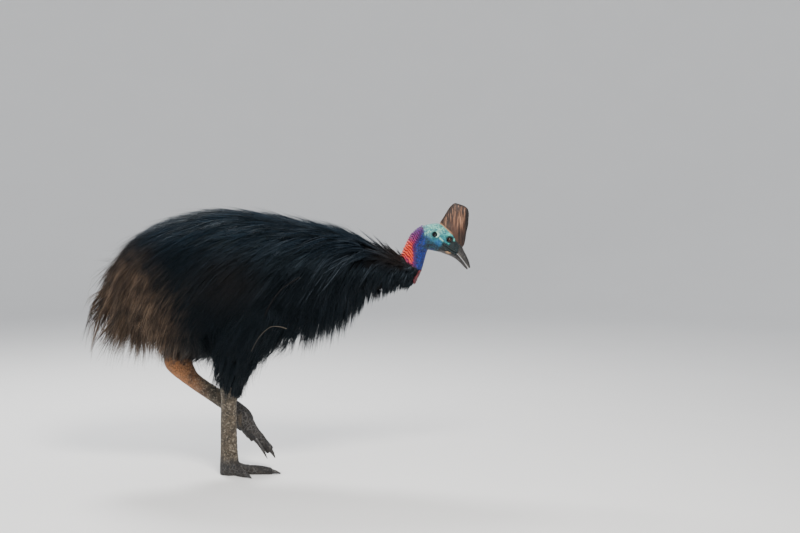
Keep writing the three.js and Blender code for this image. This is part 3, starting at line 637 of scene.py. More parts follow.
def leg_finish():
    """Mottled grey-brown shanks, an orange-brown lifted hock, pale folds on the standing one and dark grey
    feet, all darkest between the scales."""
    s = Shader("leg_skin", Specular_IOR_Level=0.32)
    x, y, z = s.xyz
    scale = s.cells(110.0, stretch=(1, 1, 0.8)).step(0.0, 0.12)
    tint = s.cells(110.0, "F1", (1, 1, 0.8)).step(0.1, 0.8)
    mottle = s.grain(34.0, 5.0)
    speck = s.grain(120.0, 3.0)
    folds = ((x * 0.55 + z * 0.83) * 760.0).sine().step(0.35, 0.9) * s.near(36, 336, 30, 0.5)
    hock = 1 - (x + (z - 0.42) * 0.2).step(-0.225, -0.10)
    lifted = x.step(-0.04, 0.01) * (1 - z.step(0.265, 0.30))
    lifted = lifted * y.step(0.042, 0.052).most(x.step(0.032, 0.038))
    foot = (1 - z.step(0.035, 0.085)).most(lifted)
    plates = s.cells(75.0, stretch=(1, 0.7, 1)).step(0.0, 0.09)
    colour = s.over(
        s.mix(mottle.step(0.3, 0.7), (0.028, 0.023, 0.016), (0.120, 0.094, 0.064)),
        (speck.step(0.51, 0.61) * 0.7, (0.26, 0.22, 0.165)),
        (folds * 0.7, (0.22, 0.20, 0.17)),
        (hock * mottle.step(0.15, 0.55), (0.42, 0.17, 0.060)),
        (foot * 0.93, (0.0125, 0.0130, 0.0150)),
        (foot * (1 - plates) * mottle.step(0.35, 0.6) * 0.8, (0.13, 0.125, 0.12)),
        ((1 - tint) * 0.3, (0.05, 0.038, 0.028)),
        ((1 - scale) * (1 - foot) * 0.8, (0.018, 0.013, 0.010)),
    )
    return s.finish(colour, 0.46 + mottle * 0.22, scale + tint * 0.4 + speck * 0.3, 0.0016)


def claw_finish():
    s = Shader("claw_horn", Specular_IOR_Level=0.5)
    grain = s.grain(140.0, 4.0, (0.4, 1, 1))
    colour = s.mix(grain.step(0.3, 0.75), (0.010, 0.0095, 0.0095), (0.038, 0.034, 0.031))
    return s.finish(colour, 0.34 + grain * 0.2, grain, 0.0006)


def quill_finish(name, dark, light):
    s = Shader(name, Specular_IOR_Level=0.1)
    grain = s.grain(90.0, 3.0)
    return s.finish(s.mix(grain, dark, light), 0.45 + grain * 0.1, grain, 0.0003)


def floor_finish():
    s = Shader("floor", Specular_IOR_Level=0.1)
    grain = s.grain(2.2, 4.0)
    return s.finish(s.mix(grain, (0.78, 0.775, 0.76), (0.81, 0.805, 0.79)), 0.85)


# The trunk and thighs as fields that the plumage follows


STATIONS = np.linspace(0, 1, 1600)
TRUNK_AT = [along(TRUNK[:, c], STATIONS) for c in range(4)]


def trunk_section(x):
    """Centre height, half height and half width of the trunk at x."""
    top, low, half = (np.interp(x, TRUNK_AT[0], column) for column in TRUNK_AT[1:])
    return (top + low) / 2, np.maximum((top - low) / 2, 6), np.maximum(half, 6)


def off_trunk(p):
    """How far points stand off the trunk and the way out: level(p) = |(y / wide, (z - centre) / high)|,
    out is its gradient and off is (level - 1) over the gradient's length."""

    def level(x):
        centre, high, wide = trunk_section(x)
        return np.hypot(p[:, 1] / wide, (p[:, 2] - centre) / high)

    reach = 5
    centre, high, wide = trunk_section(p[:, 0])
    here = np.maximum(level(p[:, 0]), 1e-6)
    slope = (level(p[:, 0] + reach) - level(p[:, 0] - reach)) / (2 * reach)
    out = np.stack([slope, p[:, 1] / (wide**2 * here), (p[:, 2] - centre) / (high**2 * here)], -1)
    size = np.linalg.norm(out, axis=-1)
    return (here - 1) / size, out / size[:, None]


LIMB_STATIONS = 28
LIMBS = {name: sections(rows, np.linspace(0, 1, LIMB_STATIONS)) for name, rows in THIGHS.items()}


def off_limb(p, name):
    """How far points stand off a thigh and the way out, from the thigh's section whose plane is nearest."""
    centre, rise, half = LIMBS[name]
    path = unit(np.gradient(centre, axis=0))
    apart = p[:, None] - centre[None]
    distance = np.abs(np.sum(apart * path[None], -1)) + 0.15 * np.linalg.norm(apart, axis=-1)
    k = np.argmin(distance, 1)
    chosen = apart[np.arange(len(p)), k]
    length = np.linalg.norm(rise[k], axis=-1)
    up = rise[k] / length[:, None]
    a, b = np.sum(chosen * up, -1) / length, chosen[:, 1] / half[k]
    level = np.maximum(np.hypot(a, b), 1e-6)
    out = up * (a / length)[:, None]
    out[:, 1] += b / half[k]
    size = np.maximum(np.linalg.norm(out, axis=-1), 1e-9)
    off = (level - 1) * level / size
    beyond = np.abs(np.sum(chosen * path[k], -1)) > 30
    return np.where(beyond, 1e3, off), out / size[:, None]


# Plumage

# Tufts that grow in clumps on each region, and those for which a pair of loose tufts is added a clump
TUFTS = {"trunk": 25700, "front": 1700, "rump": 11300, "thigh": 3300, "collar": 3900}
LOOSE = {"trunk": 4500, "fringe": 8200, "rump": 2500, "thigh": 3300}
PER_CLUMP = 11
KEYS = 7  # points along a clump's path
RINGS = 5  # rings of a tuft, before its tip
REAR, SIDE = -530, 200  # where tips begin to be drawn in
RUMP_X = -190
LARGEST_PIECE = 7000  # tufts, of 28 triangles each
# How far the plumage stands off the trunk, and how long it is, at stations along it
STAND_AT = np.array([
    (-405, 46), (-317, 42), (-236, 30), (0, 26), (376, 32), (477, 36), (619, 38), (661, 30), (704, 16),
])
LENGTH_AT = np.array([
    (-405, 345), (-345, 318), (-290, 296), (-225, 260), (-140, 232), (440, 218), (500, 160), (572, 112),
    (635, 74), (700, 46),
])
# The thighs' plumage: the limb's number, the lie at its top and foot, the droop and its place on the unwrap
THIGH_COAT = {
    "right": {"limb": 1, "lie": (64, 92), "droop": 4.0, "map": 0.66},
    "left": {"limb": 2, "lie": (26, 58), "droop": 16.0, "map": 0.83},
}
COLLAR_END = 0.165  # how far up the neck the collar grows, as a share of neck and head


def on_map(start, wide, t, a):
    """A root's place on the coat's unwrap: t along the body, from start over wide, and a round it."""
    return np.stack([start + wide * t, 0.03 + 0.94 * (a / (2 * math.pi) % 1)], -1)


def clumps_on_trunk(count, low_x, high_x, draw):
    """Clump roots spread evenly over the trunk's area between two stations, each with its lie and droop in
    degrees under the level, its length and how far it stands off."""
    stations, turns = 240, 180
    x = np.linspace(low_x, high_x, stations)
    a = np.linspace(0, 2 * math.pi, turns, endpoint=False)
    _, high, wide = trunk_section(x)
    arc = np.hypot(high[:, None] * np.sin(a), wide[:, None] * np.cos(a))
    area = arc * np.hypot(1, np.gradient(high, x))[:, None]
    cell = draw.choice(area.size, count, p=(area / area.sum()).ravel())
    x = x[cell // turns] + draw.uniform(-0.5, 0.5, count) * (high_x - low_x) / stations
    a = a[cell % turns] + draw.uniform(-0.5, 0.5, count) * 2 * math.pi / turns
    centre, high, wide = trunk_section(x)
    height = np.cos(a)
    behind = smoothstep(-x, 170, 330)
    lie = lerp(10, lerp(67, 40, behind), ((1 - height) / 2) ** 0.62)
    lie += 22 * smoothstep(x, 200, 470) * smoothstep(-height, -0.8, 0) * ease(1, 0.25, x, 610, 690)
    lie += 38 * smoothstep(-x, 140, 380) * ease(0.25, 1, height, -0.7, 0.6)
    lie += draw.normal(0, 7, count) * behind
    lie -= 24 * smoothstep(x, 500, 620) * smoothstep(height, 0, 0.7)
    long = np.interp(x, *LENGTH_AT.T) * ease(lerp(0.72, 0.92, behind), 1, height, -1, 0)
    long *= ease(1, ease(0.6, 1, height, -0.9, 0.3), x, 470, 540)
    stand = np.interp(x, *STAND_AT.T) * ease(ease(0.75, 0.5, x, 440, 620), 1, height, -0.3, 0.5)
    return {
        "roots": np.stack([x, wide * np.sin(a), centre + high * height], -1),
        "limb": np.zeros(count, int),
        "lie": lie + draw.normal(0, 5, count),
        "droop": np.where(x < RUMP_X, 30, np.where(x > 470, 6, 14)) + draw.normal(0, 4, count),
        "long": long * draw.uniform(0.86, 1.12, count),
        "stand": stand * draw.uniform(0.15, 1.0, count) ** 0.6,
        "uv": on_map(0.03, 0.58, (x + 405) / 1113, a),
    }


def clumps_on_thigh(name, count, draw):
    """Clump roots spread over a thigh, lying down along it."""
    way = THIGH_COAT[name]
    t = draw.uniform(0.02, 0.91, count)
    a = draw.uniform(0, 2 * math.pi, count)
    centre, rise, half = sections(THIGHS[name], t)
    roots = centre + rise * np.cos(a)[:, None]
    roots[:, 1] += half * np.sin(a)
    return {
        "roots": roots,
        "limb": np.full(count, way["limb"]),
        "lie": lerp(*way["lie"], t) + draw.normal(0, 5, count),
        "droop": np.full(count, way["droop"]),
        "long": lerp(135, 40, t**0.9) * draw.uniform(0.7, 1.25, count),
        "stand": lerp(22, 11, t) * draw.uniform(0.15, 1.1, count),
        "uv": on_map(way["map"], 0.14, t, a),
    }


def clumps_on_collar(count, draw):
    """Clump roots round the foot of the neck: bristles that stand on the nape and lie down and back at the
    throat. They keep to the neck's own way out."""
    a = draw.uniform(0, 2 * math.pi, count)
    height = np.cos(a)
    t = draw.uniform(0, 1, count) ** 0.7 * lerp(COLLAR_END, 0.125, (1 + height) / 2)
    centre, rise, half = sections(NECK_AND_HEAD, t)
    across = np.stack([0 * a, np.sin(a), 0 * a], -1)
    out = unit(unit(rise) * height[:, None] + across)
    fuller = smoothstep(height, -1, 0)
    return {
        "roots": centre + rise * height[:, None] + half[:, None] * across - 2 * out,
        "limb": np.zeros(count, int),
        "lie": lerp(-28, 40, (1 - height) / 2) + draw.normal(0, 9, count),
        "droop": np.full(count, 10.0),
        "long": lerp(50, 30, t / COLLAR_END) * lerp(0.55, 1, fuller) * draw.uniform(0.7, 1.2, count),
        "stand": draw.uniform(3, 12, count) * lerp(0.5, 1, fuller),
        "uv": on_map(0.62, 0.03, t / COLLAR_END, a),
        "out": out,
    }


def nearest_body(p, limb):
    """How far points stand off the body and the way out, from the nearest of trunk and thighs, or from the
    clump's own limb where it has one."""
    off, out = off_trunk(p)
    for name, way in THIGH_COAT.items():
        limb_off, limb_out = off_limb(p, name)
        nearer = np.where(limb > 0, limb == way["limb"], limb_off < off)
        off, out = np.where(nearer, limb_off, off), np.where(nearer[:, None], limb_out, out)
    return off, out


def march(c):
    """Paths of the clumps, and the way that each faces along its path. A step goes along the lie, less its
    way into the body. The point is then moved to the height that it should stand at. hug is how firmly it is
    held to that height: where the body turns in under it, the path hangs free."""
    p = c["roots"]
    on_limb, on_rump, on_collar = c["limb"] > 0, p[:, 0] < RUMP_X, "out" in c
    path, facing = [], []
    for k in range(KEYS):
        t = k / (KEYS - 1)
        want = c["stand"] * t**0.8 - SUNK * (1 - t)
        if on_collar:
            off, out = want - (c["stand"] + 2) / KEYS, c["out"]
        else:
            off, out = nearest_body(p, c["limb"])
        hug = smoothstep(out[:, 2], -0.75, -0.1) * np.where(on_rump, 1 - t, 1)
        hug = np.where(on_limb, 0.22, hug)
        shift = np.clip((want - off) * np.where(off < want, 1, hug), -30, 60)
        p = p + out * shift[:, None]
        path.append(p)
        facing.append(lerp(facing[-1], out, (0.3 + 0.7 * hug)[:, None]) if facing else out)
        slant = np.radians(np.minimum(c["lie"] + c["droop"] * t, 81))
        way = np.stack([-np.cos(slant), np.zeros_like(slant), -np.sin(slant)], -1)
        inward = np.sum(way * out, -1)
        way = unit(way - out * (inward * np.where(inward < 0, 1, 0.3 if on_collar else hug))[:, None])
        p = p + way * (c["long"] / (KEYS - 1))[:, None]
    return np.stack(path, 1), unit(np.stack(facing, 1))


def tufts_of(c, per_clump, draw, fine=1.0):
    """Tufts of each clump: its path, shifted sideways by a spread that closes towards the tip, with a slow
    wave and a little lift. Past REAR and SIDE the tips are drawn in. Each tuft is a closed three-sided
    sliver, widest near its root and drawn out to a point. fine scales its width."""
    path, facing = march(c)
    owner = np.repeat(np.arange(len(path)), per_clump)
    count = len(owner)
    share = draw.uniform(0.62, 1.06, count)
    t = np.linspace(0, 1, RINGS + 1)
    place = np.clip(t * share[:, None], 0, 1) * (KEYS - 1)
    low = np.minimum(place.astype(int), KEYS - 2)
    f = (place - low)[..., None]
    row = owner[:, None]
    centre, out = (lerp(keys[row, low], keys[row, low + 1], f) for keys in (path, facing))
    tangent = unit(np.gradient(centre, axis=1))
    across = unit(np.cross(tangent, unit(out)))
    out = np.cross(across, tangent)
    size = np.clip(c["long"][owner] / 200, 0.25, 1.3)
    spread = draw.normal(0, 9.5, count) * size**0.5
    wave = draw.normal(0, 3.0, count)
    beat = t * draw.uniform(2, 5.5, count)[:, None] + draw.uniform(0, 6.3, count)[:, None]
    loose = np.where(draw.uniform(0, 1, count) < 0.13, draw.uniform(3, 15, count), 0)[:, None] * t**2
    lift = (draw.normal(0, 2.6, count)[:, None] * t + loose) * size[:, None]
    aside = spread[:, None] * (1 - 0.55 * t**1.3) + (wave * size)[:, None] * np.sin(beat) * t
    shift = draw.normal(0, 9, count) * size**0.5
    centre = centre + across * aside[..., None] + out * lift[..., None] + tangent * shift[:, None, None]
    centre[..., 0] += 0.66 * np.maximum(REAR - centre[..., 0], 0)
    centre[..., 1] -= 0.66 * np.sign(centre[..., 1]) * np.maximum(np.abs(centre[..., 1]) - SIDE, 0)
    width = draw.uniform(2.3, 4.8, count) * lerp(0.55, 1, size / 1.3) * fine
    shape = np.minimum(1, 0.55 + 2.2 * t) * (1 - t**1.7) + 0.06 * (1 - t)
    half = (width[:, None] * shape / 2)[..., None]
    rings = np.stack([centre - across * half, centre + out * (half * 0.7), centre + across * half], 2)
    points = np.concatenate([rings[:, :RINGS].reshape(count, RINGS * 3, 3), centre[:, RINGS:]], 1)
    tone = np.clip(draw.uniform(0, 1, len(path))[owner] * 0.55 + draw.uniform(0, 0.5, count), 0, 1)
    return {"points": points, "tone": tone, "uv": c["uv"][owner], "order": c["roots"][owner, 0]}


def tuft_faces():
    """The triangles of one tuft: a cap at the root, three sides between two rings, and three at the tip."""
    faces = [(0, 1, 2)]
    for ring in range(RINGS - 1):
        for side in range(3):
            a, b = ring * 3 + side, ring * 3 + (side + 1) % 3
            faces += [(a, b + 3, b), (a, a + 3, b + 3)]
    tip, last = RINGS * 3, (RINGS - 1) * 3
    faces += [(last + side, tip, last + (side + 1) % 3) for side in range(3)]
    return np.array(faces)


def coat_piece(name, tufts, pick, material):
    """A piece of the coat: every picked tuft's closed sliver, with its shade and its place along it as
    attributes, and the OFBake map, where a tuft is a small patch at its root's place on the unwrap."""
    points = tufts["points"][pick]
    count, each = points.shape[:2]
    faces = tuft_faces()
    a, b, c = (points[:, faces[:, k]] for k in range(3))
    middle = points.mean(1, keepdims=True)
    volume = np.sum(np.cross(a - middle, b - middle) * (c - middle), (1, 2))
    outer = np.where((volume < 0)[:, None, None], faces[:, ::-1], faces)
    corners = (outer + each * np.arange(count)[:, None, None]).reshape(-1)
    mesh = bpy.data.meshes.new(name)
    mesh.vertices.add(count * each)
    mesh.vertices.foreach_set("co", (points * MM).astype(np.float32).ravel())
    mesh.loops.add(len(corners))
    mesh.loops.foreach_set("vertex_index", corners.astype(np.int32))
    mesh.polygons.add(len(corners) // 3)
    mesh.polygons.foreach_set("loop_start", np.arange(0, len(corners), 3, dtype=np.int32))
    mesh.update(calc_edges=True)
    along_tuft = np.append(np.repeat(np.arange(RINGS) / RINGS, 3), 1.0)
    side = np.append(np.tile([0.0, 0.5, 1.0], RINGS), 0.5)
    marks = {"tone": np.repeat(tufts["tone"][pick], each), "along": np.tile(along_tuft, count)}
    for key, values in marks.items():
        mesh.attributes.new(key, "FLOAT", "POINT").data.foreach_set("value", values.astype(np.float32))
    patch = 0.003 * (np.stack([side, along_tuft], -1) - 0.5)
    uv = (tufts["uv"][pick][:, None] + patch).reshape(-1, 2)[corners]
    mesh.uv_layers.new(name="OFBake").data.foreach_set("uv", uv.astype(np.float32).ravel())
    finished(name, mesh, material)


def coat(name, parts, material):
    """A region of the coat, in as many pieces as its tufts need, from rear to front."""
    tufts = {key: np.concatenate([part[key] for part in parts]) for key in parts[0]}
    order = np.argsort(tufts["order"], kind="stable")
    pieces = math.ceil(len(order) / LARGEST_PIECE)
    for i, pick in enumerate(np.array_split(order, pieces)):
        coat_piece(f"{name}_{i + 1}", tufts, pick, material)


def wisps_of(clumps, count, draw, low=False, off=16):
    """Pairs of loose tufts from a few clumps: longer, thinner, at odd angles and lifted off the rest by
    about off. With low, only clumps well below the middle of the trunk give them, for the fringe."""
    centre, high, _ = trunk_section(clumps["roots"][:, 0])
    fit = clumps["roots"][:, 2] < (centre - 0.35 * high if low else np.inf)
    pick = draw.permutation(np.flatnonzero(fit))[:count]
    count = len(pick)
    loose = {key: value[pick] for key, value in clumps.items()}
    loose["lie"] = loose["lie"] + draw.uniform(-16, 16, count)
    loose["long"] = loose["long"] * draw.uniform(0.9, 1.25, count)
    size = np.clip(loose["long"] / 200, 0.3, 1)
    loose["stand"] = loose["stand"] + draw.uniform(0.4, 1.6, count) * off * size
    return tufts_of(loose, 2, draw, 0.5)


def make_plumage():
    share = 1.0
    clumps, loose = ({k: int(v * share / PER_CLUMP) for k, v in table.items()} for table in (TUFTS, LOOSE))
    draw = np.random.default_rng(77)
    plumage = plumage_finish()
    trunk = clumps_on_trunk(clumps["trunk"], -200, 704, draw)
    front = clumps_on_trunk(clumps["front"], 590, 704, draw)
    rump = clumps_on_trunk(clumps["rump"], -404, -180, draw)
    wisps = [wisps_of(trunk, loose["trunk"], draw), wisps_of(trunk, loose["fringe"], draw, low=True)]
    body = [tufts_of(part, PER_CLUMP, draw) for part in (trunk, front)]
    coat("coat_body", body + wisps, plumage)
    tufts = [tufts_of(rump, PER_CLUMP, draw), wisps_of(rump, loose["rump"], draw)]
    coat("coat_rump", tufts, plumage)
    collar = clumps_on_collar(clumps["collar"], draw)
    coat("coat_collar", [tufts_of(collar, PER_CLUMP, draw)], plumage)
    for name in THIGHS:
        thigh = clumps_on_thigh(name, clumps["thigh"], draw)
        wisps = wisps_of(thigh, loose["thigh"], draw, off=55)
        coat(f"coat_thigh_{name}", [tufts_of(thigh, PER_CLUMP, draw), wisps], plumage)


# Skin


def make_trunk_skin():
    """The trunk and both thighs, fused: the skin that the plumage grows from."""
    rows = [(x, top, x, low, half, 0) for x, top, low, half in TRUNK]
    tubes = [loft(rows, 90, 60, 0.03, grow=-1)]
    tubes += [loft(thigh, 50, 40, 0.08, grow=-1) for thigh in THIGHS.values()]
    mesh = remeshed(mesh_of("skin_trunk", tubes), 8)
    nodes = ("torso", "rump", "neck_base", "thigh_right", "thigh_left")
    finished("skin_trunk", mesh, down_finish(), nodes)


def nape_ridges(points, t, a):
    """Wrinkles across the nape: a sine down the neck whose phase wanders with the place and round it."""
    wander = 2.4 * noise(points * np.array([1, 1, 0.5]), 22, 5, 3) + 1.5 * np.cos(4 * a)
    return np.sin(t * 235 + wander)


def head_relief(points, t, a):
    """Wrinkled nape, pebbled sides, lids, brow, ear, the line of the mouth and folds of the cheek."""
    x, z = points[..., 0], points[..., 2]
    nape = smoothstep(np.cos(a) + 0 * t, -0.25, 0.35)
    neck = 1 - smoothstep(x, 728, 762)
    relief = (nape_ridges(points, t, a) * 1.7 + 0.5) * nape * neck
    relief += noise(points, 8, 9, 2) * (0.9 * neck * (1 - 0.6 * nape) + 0.3)
    relief += noise(points * np.array([1, 1, 1.8]), 26, 11) * 1.2 * neck
    eye = np.hypot((x - EYE["x"]) * 0.86, (z - EYE["z"] - 0.5) * 1.15)
    detail = 3.6 * swell(eye - 9.6, 2.2) - 9.5 * (1 - smoothstep(eye, 5.6, 8.4))
    detail += 2.2 * swell(eye - 10.5, 3) * smoothstep(z, 905, 914)
    detail += 0.8 * np.sin(eye * 1.2) * swell(eye - 16, 6)
    detail += 3.0 * swell(x - 836, 17) * swell(z - 923 + 0.35 * (x - 836), 4.5)
    ear = np.hypot(x - 782, (z - 926) * 0.78)
    detail += 2.6 * swell(ear - 11.5, 2.4) * ease(0.4, 1, x, 776, 790)
    detail -= 8.5 * (1 - smoothstep(ear, 4.5, 9.5))
    (x0, z0), (x1, z1) = MOUTH
    length = math.hypot(x1 - x0, z1 - z0)
    run = ((x - x0) * (x1 - x0) + (z - z0) * (z1 - z0)) / length
    drop = ((z - z0) * (x1 - x0) - (x - x0) * (z1 - z0)) / length + 2.2 * np.sin(run / length * math.pi)
    detail += smoothstep(run, -4, 6) * (1.3 * swell(np.abs(drop) - 4.0, 1.8) - 2.6 * swell(drop, 1.4))
    detail += 0.55 * np.sin((x * 0.5 + z * 0.87) * 0.95 + 2 * noise(points, 24, 31, 2)) * (1 - neck)
    return relief + detail * smoothstep(np.abs(np.sin(a)) + 0 * x, 0.25, 0.6)


def make_head():
    """Neck and head as one tube, from under the collar's plumage to under the bill, wattles and eyes."""
    around, rings = ((180, 400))
    plain = loft(NECK_AND_HEAD, rings, around, 0.03)
    grid = loft(NECK_AND_HEAD, rings, around, 0.03, head_relief)
    t, a = np.linspace(0, 1, rings)[:, None], np.linspace(0, 2 * math.pi, around, endpoint=False)[None]
    on_neck = 1 - smoothstep(plain[..., 0], 735, 765)
    ridges = 0.5 + 0.5 * nape_ridges(plain, t, a) * on_neck + 0.25 * noise(plain, 9, 9, 2) * (1 - on_neck)
    mesh = mesh_of("skin_head", [grid], ridges)
    finished("skin_head", mesh, bare_skin_finish(), ("neck", "head"))
    wattle_skin, eye_gloss = wattle_finish(), eye_finish()

    def folds(p, t, a):
        return 0.9 * np.sin(t * 34 + 2 * np.cos(a)) + 0.8 * noise(p, 9, 3)

    for side, name in ((-1, "right"), (1, "left")):
        rows = [(*row[:5], row[5] * side) for row in WATTLE]
        own_piece(f"wattle_{name}", loft(rows, 60, 40, 0.2, folds), wattle_skin)
        own_piece(f"eye_{name}", eyeball(side), eye_gloss)


def eyeball(side):
    """A ball whose front swells out a little as the cornea."""
    u, v = np.linspace(0, math.pi, 40)[1:-1, None], np.linspace(0, 2 * math.pi, 48, endpoint=False)[None]
    ball = np.stack([np.sin(u) * np.cos(v), np.cos(u) + 0 * v, np.sin(u) * np.sin(v)], -1)
    bulge = 1 + 0.05 * smoothstep(ball[..., 1] * side, 0.75, 1.0)
    return np.array([EYE["x"], side * (EYE["y"] - 3), EYE["z"]]) + ball * (EYE["r"] * bulge)[..., None]


def casque_relief(p, _, a):
    """Faint streaks up the blade, slow swells and a thicker edge."""
    x, y, z = np.moveaxis(p, -1, 0)
    streaks = noise(np.stack([x - 0.42 * z, y * 0.6, z * 0.06], -1), 12, 21, 4)
    return 0.7 * streaks + 0.5 * noise(p, 46, 8, 2) + 1.2 * swell(np.sin(a), 0.25)


def nostril(p, t, a):
    """A slit with a raised rim on each side of the upper bill."""
    x, z = p[..., 0] - 893, p[..., 2] - 845
    far = np.hypot(x * 0.85 + z * 0.53, (z * 0.85 - x * 0.53) * 0.38)
    rim = 0.5 * swell(far - 2.9, 0.9) - 2.6 * (1 - smoothstep(far, 1.0, 2.4))
    return rim * smoothstep(np.abs(np.sin(a)) + 0 * t, 0.4, 0.8) + 0.25 * noise(p, 12, 4)


def rough(seed, scale=12):
    """A relief of faint noise."""
    return lambda p, t, a: 0.25 * noise(p, scale, seed)


def make_horn():
    """Casque and both halves of the bill."""
    bill = bill_finish()
    own_piece("casque", loft(CASQUE, 110, 90, 0.1, casque_relief), casque_finish())
    own_piece("bill_upper", loft(BILL_UPPER, 120, 64, 0.06, nostril), bill)
    own_piece("bill_lower", loft(BILL_LOWER, 100, 56, 0.06, rough(6), -0.4), bill)


# Legs


def turn(axis, degrees):
    """The matrix of a turn about the y or z axis."""
    c, s = math.cos(math.radians(degrees)), math.sin(math.radians(degrees))
    if axis == "y":
        return np.array([[c, 0, s], [0, 1, 0], [-s, 0, c]])
    return np.array([[c, -s, 0], [s, c, 0], [0, 0, 1]])


def toe_place(foot, name):
    """From a toe's own frame to the foot: splayed about the pad, then hung by the foot's pitch."""
    toe, raised = TOES[name], foot["pitch"] > 0
    matrix = turn("y", foot["pitch"] + (toe["droop"] if raised else 0)) @ turn(
        "z", foot["inward"] * toe["turn"] * foot["splay"][name]
    )
    shift = np.array([0, 0, -PAD if raised else 0])
    return lambda p: (p + shift) @ matrix.T + np.array(foot["at"])


def scutes(count, height, bare=0.15, knuckles=0):
    """Broad plates on the upper side, where cos a is over bare. In each, the skin rises towards the plate's
    end and drops at its edge. Knuckles swell between them."""

    def relief(p, t, a):
        top = smoothstep(np.cos(a) + 0 * t, bare, 0.75)
        place = (t * count + 0.12 * np.sin(3 * a)) % 1
        plate = np.minimum(1, (1 - place) * 5) * np.minimum(1, place * 9 + 0.2)
        swell = 1.8 * np.sin(math.pi * knuckles * t) ** 4 * (1 if knuckles else 0)
        return top * height * plate + 0.45 * noise(p, 9, 13) + swell

    return relief


def make_legs():
    """Each shank with its toes, fused, and the claws."""
    skin, horn = leg_finish(), claw_finish()
    voxel = 1.9
    for side, foot in FEET.items():
        standing = side == "right"
        grow = 0.5 if standing else 3.5
        tubes = [loft(SHANKS[side], 260, 72, 0.05, scutes(24, 1.7))]
        for name, toe in TOES.items():
            put = toe_place(foot, name)
            tubes.append(put(loft(toe["rows"], 170, 48, 0.08, scutes(toe["scutes"], 1.9, 0.0, 3), grow)))
            claw = loft(CLAWS[toe["claw"]], 60, 32, 0.06, rough(17, 11))
            claw = put(claw + np.array([toe["claw_at"], 0, 0]))
            if standing:
                claw[..., 2] = np.maximum(claw[..., 2], 0.2)
            own_piece(f"claw_{name}_{side}", claw, horn)
        fused = remeshed(mesh_of("leg", tubes), voxel, 1)
        if standing:
            flatten(fused)
        nodes = [f"tarsus_{side}"] + [f"toe_{name}_{side}" for name in TOES]
        finished(f"skin_leg_{side}", fused, skin, nodes)


def flatten(mesh):
    """Presses what is under the floor up to it, as the sole lies on it."""
    points = np.empty(len(mesh.vertices) * 3, np.float32)
    mesh.vertices.foreach_get("co", points)
    points = points.reshape(-1, 3)
    points[:, 2] = np.maximum(points[:, 2], 0.0)
    mesh.vertices.foreach_set("co", points.ravel())
    mesh.update()


def make_quills():
    """The wing's bare quills: thin rods that curve back and down over the plumage."""
    dark = quill_finish("quill_dark", (0.003, 0.003, 0.003), (0.007, 0.007, 0.008))
    pale = quill_finish("quill_pale", (0.075, 0.065, 0.052), (0.14, 0.12, 0.098))
    t = np.linspace(0, 1, 40)
    for side, name in ((-1, "right"), (1, "left")):
        rods = []
        for i in range(QUILL["count"]):
            f = i / (QUILL["count"] - 1)
            root = 0.45 + 0.35 * f
            length = QUILL["length"] * (1 - 0.25 * abs(f - 0.4))
            x = WING["x"] - WING["arm"] * root - length * (0.62 - 0.12 * f) * t * (1.25 - 0.25 * t)
            z = WING["z"] - WING["drop"] * root + 6 - length * (0.3 * t + (0.42 + 0.1 * f) * t * t)
            centre, high, wide = trunk_section(x)
            drop = np.minimum(np.abs((z - centre) / high), 0.95) * np.where(z < centre, QUILL["hang"], 1)
            y = side * (wide * np.sqrt(1 - drop**2) + QUILL["off"] - 8 + 1.5 * i)
            rods.append(rod(np.stack([x, y, z], -1), QUILL["thick"] * 0.42 * (1 - 0.75 * t)))
        finished(f"quills_{name}", mesh_of("quills", rods), dark, (f"wing_{name}",))
    t = np.linspace(0, 1, 48)
    path = np.stack([along(column, t) for column in np.array(PALE_QUILL).T], -1)
    finished("quill_pale", mesh_of("quill_pale", [rod(path, 1.1 * (1 - 0.7 * t))]), pale)


def rod(path, radius):
    """A round rod of a changing radius along a path."""
    tangent = unit(np.gradient(path, axis=0))
    across = unit(np.cross(tangent, [0, 1, 0]))
    other = np.cross(tangent, across)
    a = np.linspace(0, 2 * math.pi, 10, endpoint=False)[None, :, None]
    return path[:, None] + radius[:, None, None] * (np.cos(a) * across[:, None] + np.sin(a) * other[:, None])


# The stage


def area_light(name, place, target, size, power, colour=(1, 1, 1)):
    data = bpy.data.lights.new(name, "AREA")
    data.shape, data.size, data.energy, data.color = "DISK", size, power, colour
    light = bpy.data.objects.new(name, data)
    light.location = place
    way = np.array(target) - np.array(place)
    light.rotation_euler = (math.atan2(math.hypot(way[0], way[1]), -way[2]), 0, math.atan2(-way[0], way[1]))
    bpy.context.collection.objects.link(light)


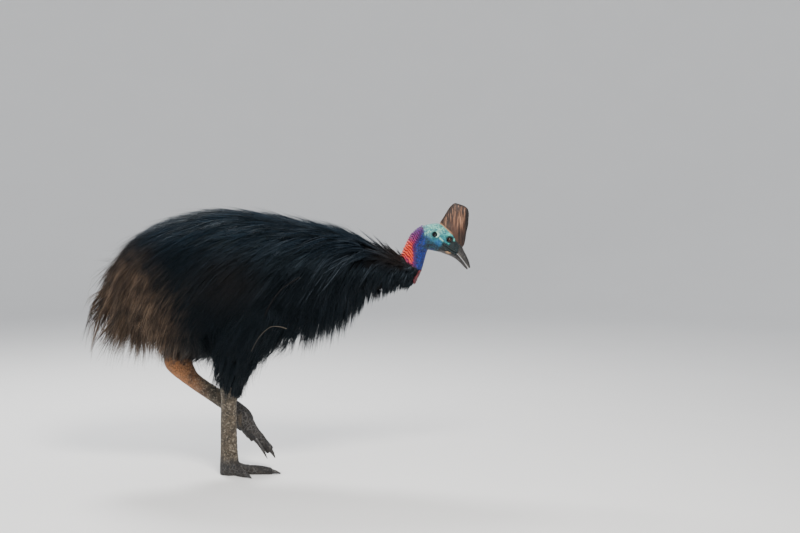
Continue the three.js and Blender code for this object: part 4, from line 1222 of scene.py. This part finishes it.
def make_stage():
    """The floor, the light of the studio and three lamps. The floor is a disc that curves up into a wall all
    round, the radius following a quarter circle at the corner, so that no horizon shows behind the bird."""
    radius, corner, wall, around, under = 10.0, 4.0, 6.0, 96, 0.0005
    a = np.linspace(0, math.pi / 2, 24)
    out = np.concatenate([[2.0, radius - corner], radius - corner + corner * np.sin(a[1:]), [radius]])
    up = np.concatenate([[0, 0], corner * (1 - np.cos(a[1:])), [wall]]) - under
    out, up = out[:, None], up[:, None]
    turns = np.linspace(0, 2 * math.pi, around, endpoint=False)
    rings = np.stack([out * np.cos(turns), out * np.sin(turns), up + 0 * turns], -1)
    points = np.concatenate([rings.reshape(-1, 3), [[0, 0, -under]]])
    middle = [(len(points) - 1, j, (j + 1) % around) for j in range(around)]
    mesh = bpy.data.meshes.new("floor")
    mesh.from_pydata(points.tolist(), [], tube_quads(len(out), around)[:, ::-1].tolist() + middle)
    mesh.polygons.foreach_set("use_smooth", np.full(len(mesh.polygons), True))
    mesh.materials.append(floor_finish())
    ground = bpy.data.objects.new("floor", mesh)
    bpy.context.collection.objects.link(ground)
    world = bpy.data.worlds.new("studio")
    world.use_nodes = True
    sky = world.node_tree.nodes["Background"]
    sky.inputs[0].default_value = (0.88, 0.92, 1.0, 1)
    sky.inputs[1].default_value = 0.8
    bpy.context.scene.world = world
    area_light("key", (1.0, -3.0, 3.4), (0.1, 0, 0.7), 1.2, 230, (1, 0.96, 0.90))
    area_light("fill", (-3.0, -2.4, 2.0), (0.1, 0, 0.7), 2.5, 35, (0.9, 0.95, 1))
    area_light("rim", (-1.2, 2.2, 3.4), (0.1, 0, 0.8), 1.2, 170)


def make_camera():
    """The photo's view: level with the bird's back, square to its side, with the bird at the left."""
    data = bpy.data.cameras.new("camera")
    data.sensor_width, data.lens = 36, 65.1
    camera = bpy.data.objects.new("camera", data)
    camera.location = (0.6498, -5.5, 1.2104)
    camera.rotation_euler = (math.radians(90 - 4.25), 0, 0)
    bpy.context.collection.objects.link(camera)
    bpy.context.scene.camera = camera


make_camera()
make_stage()
make_trunk_skin()
make_head()
make_horn()
make_legs()
make_quills()
make_plumage()
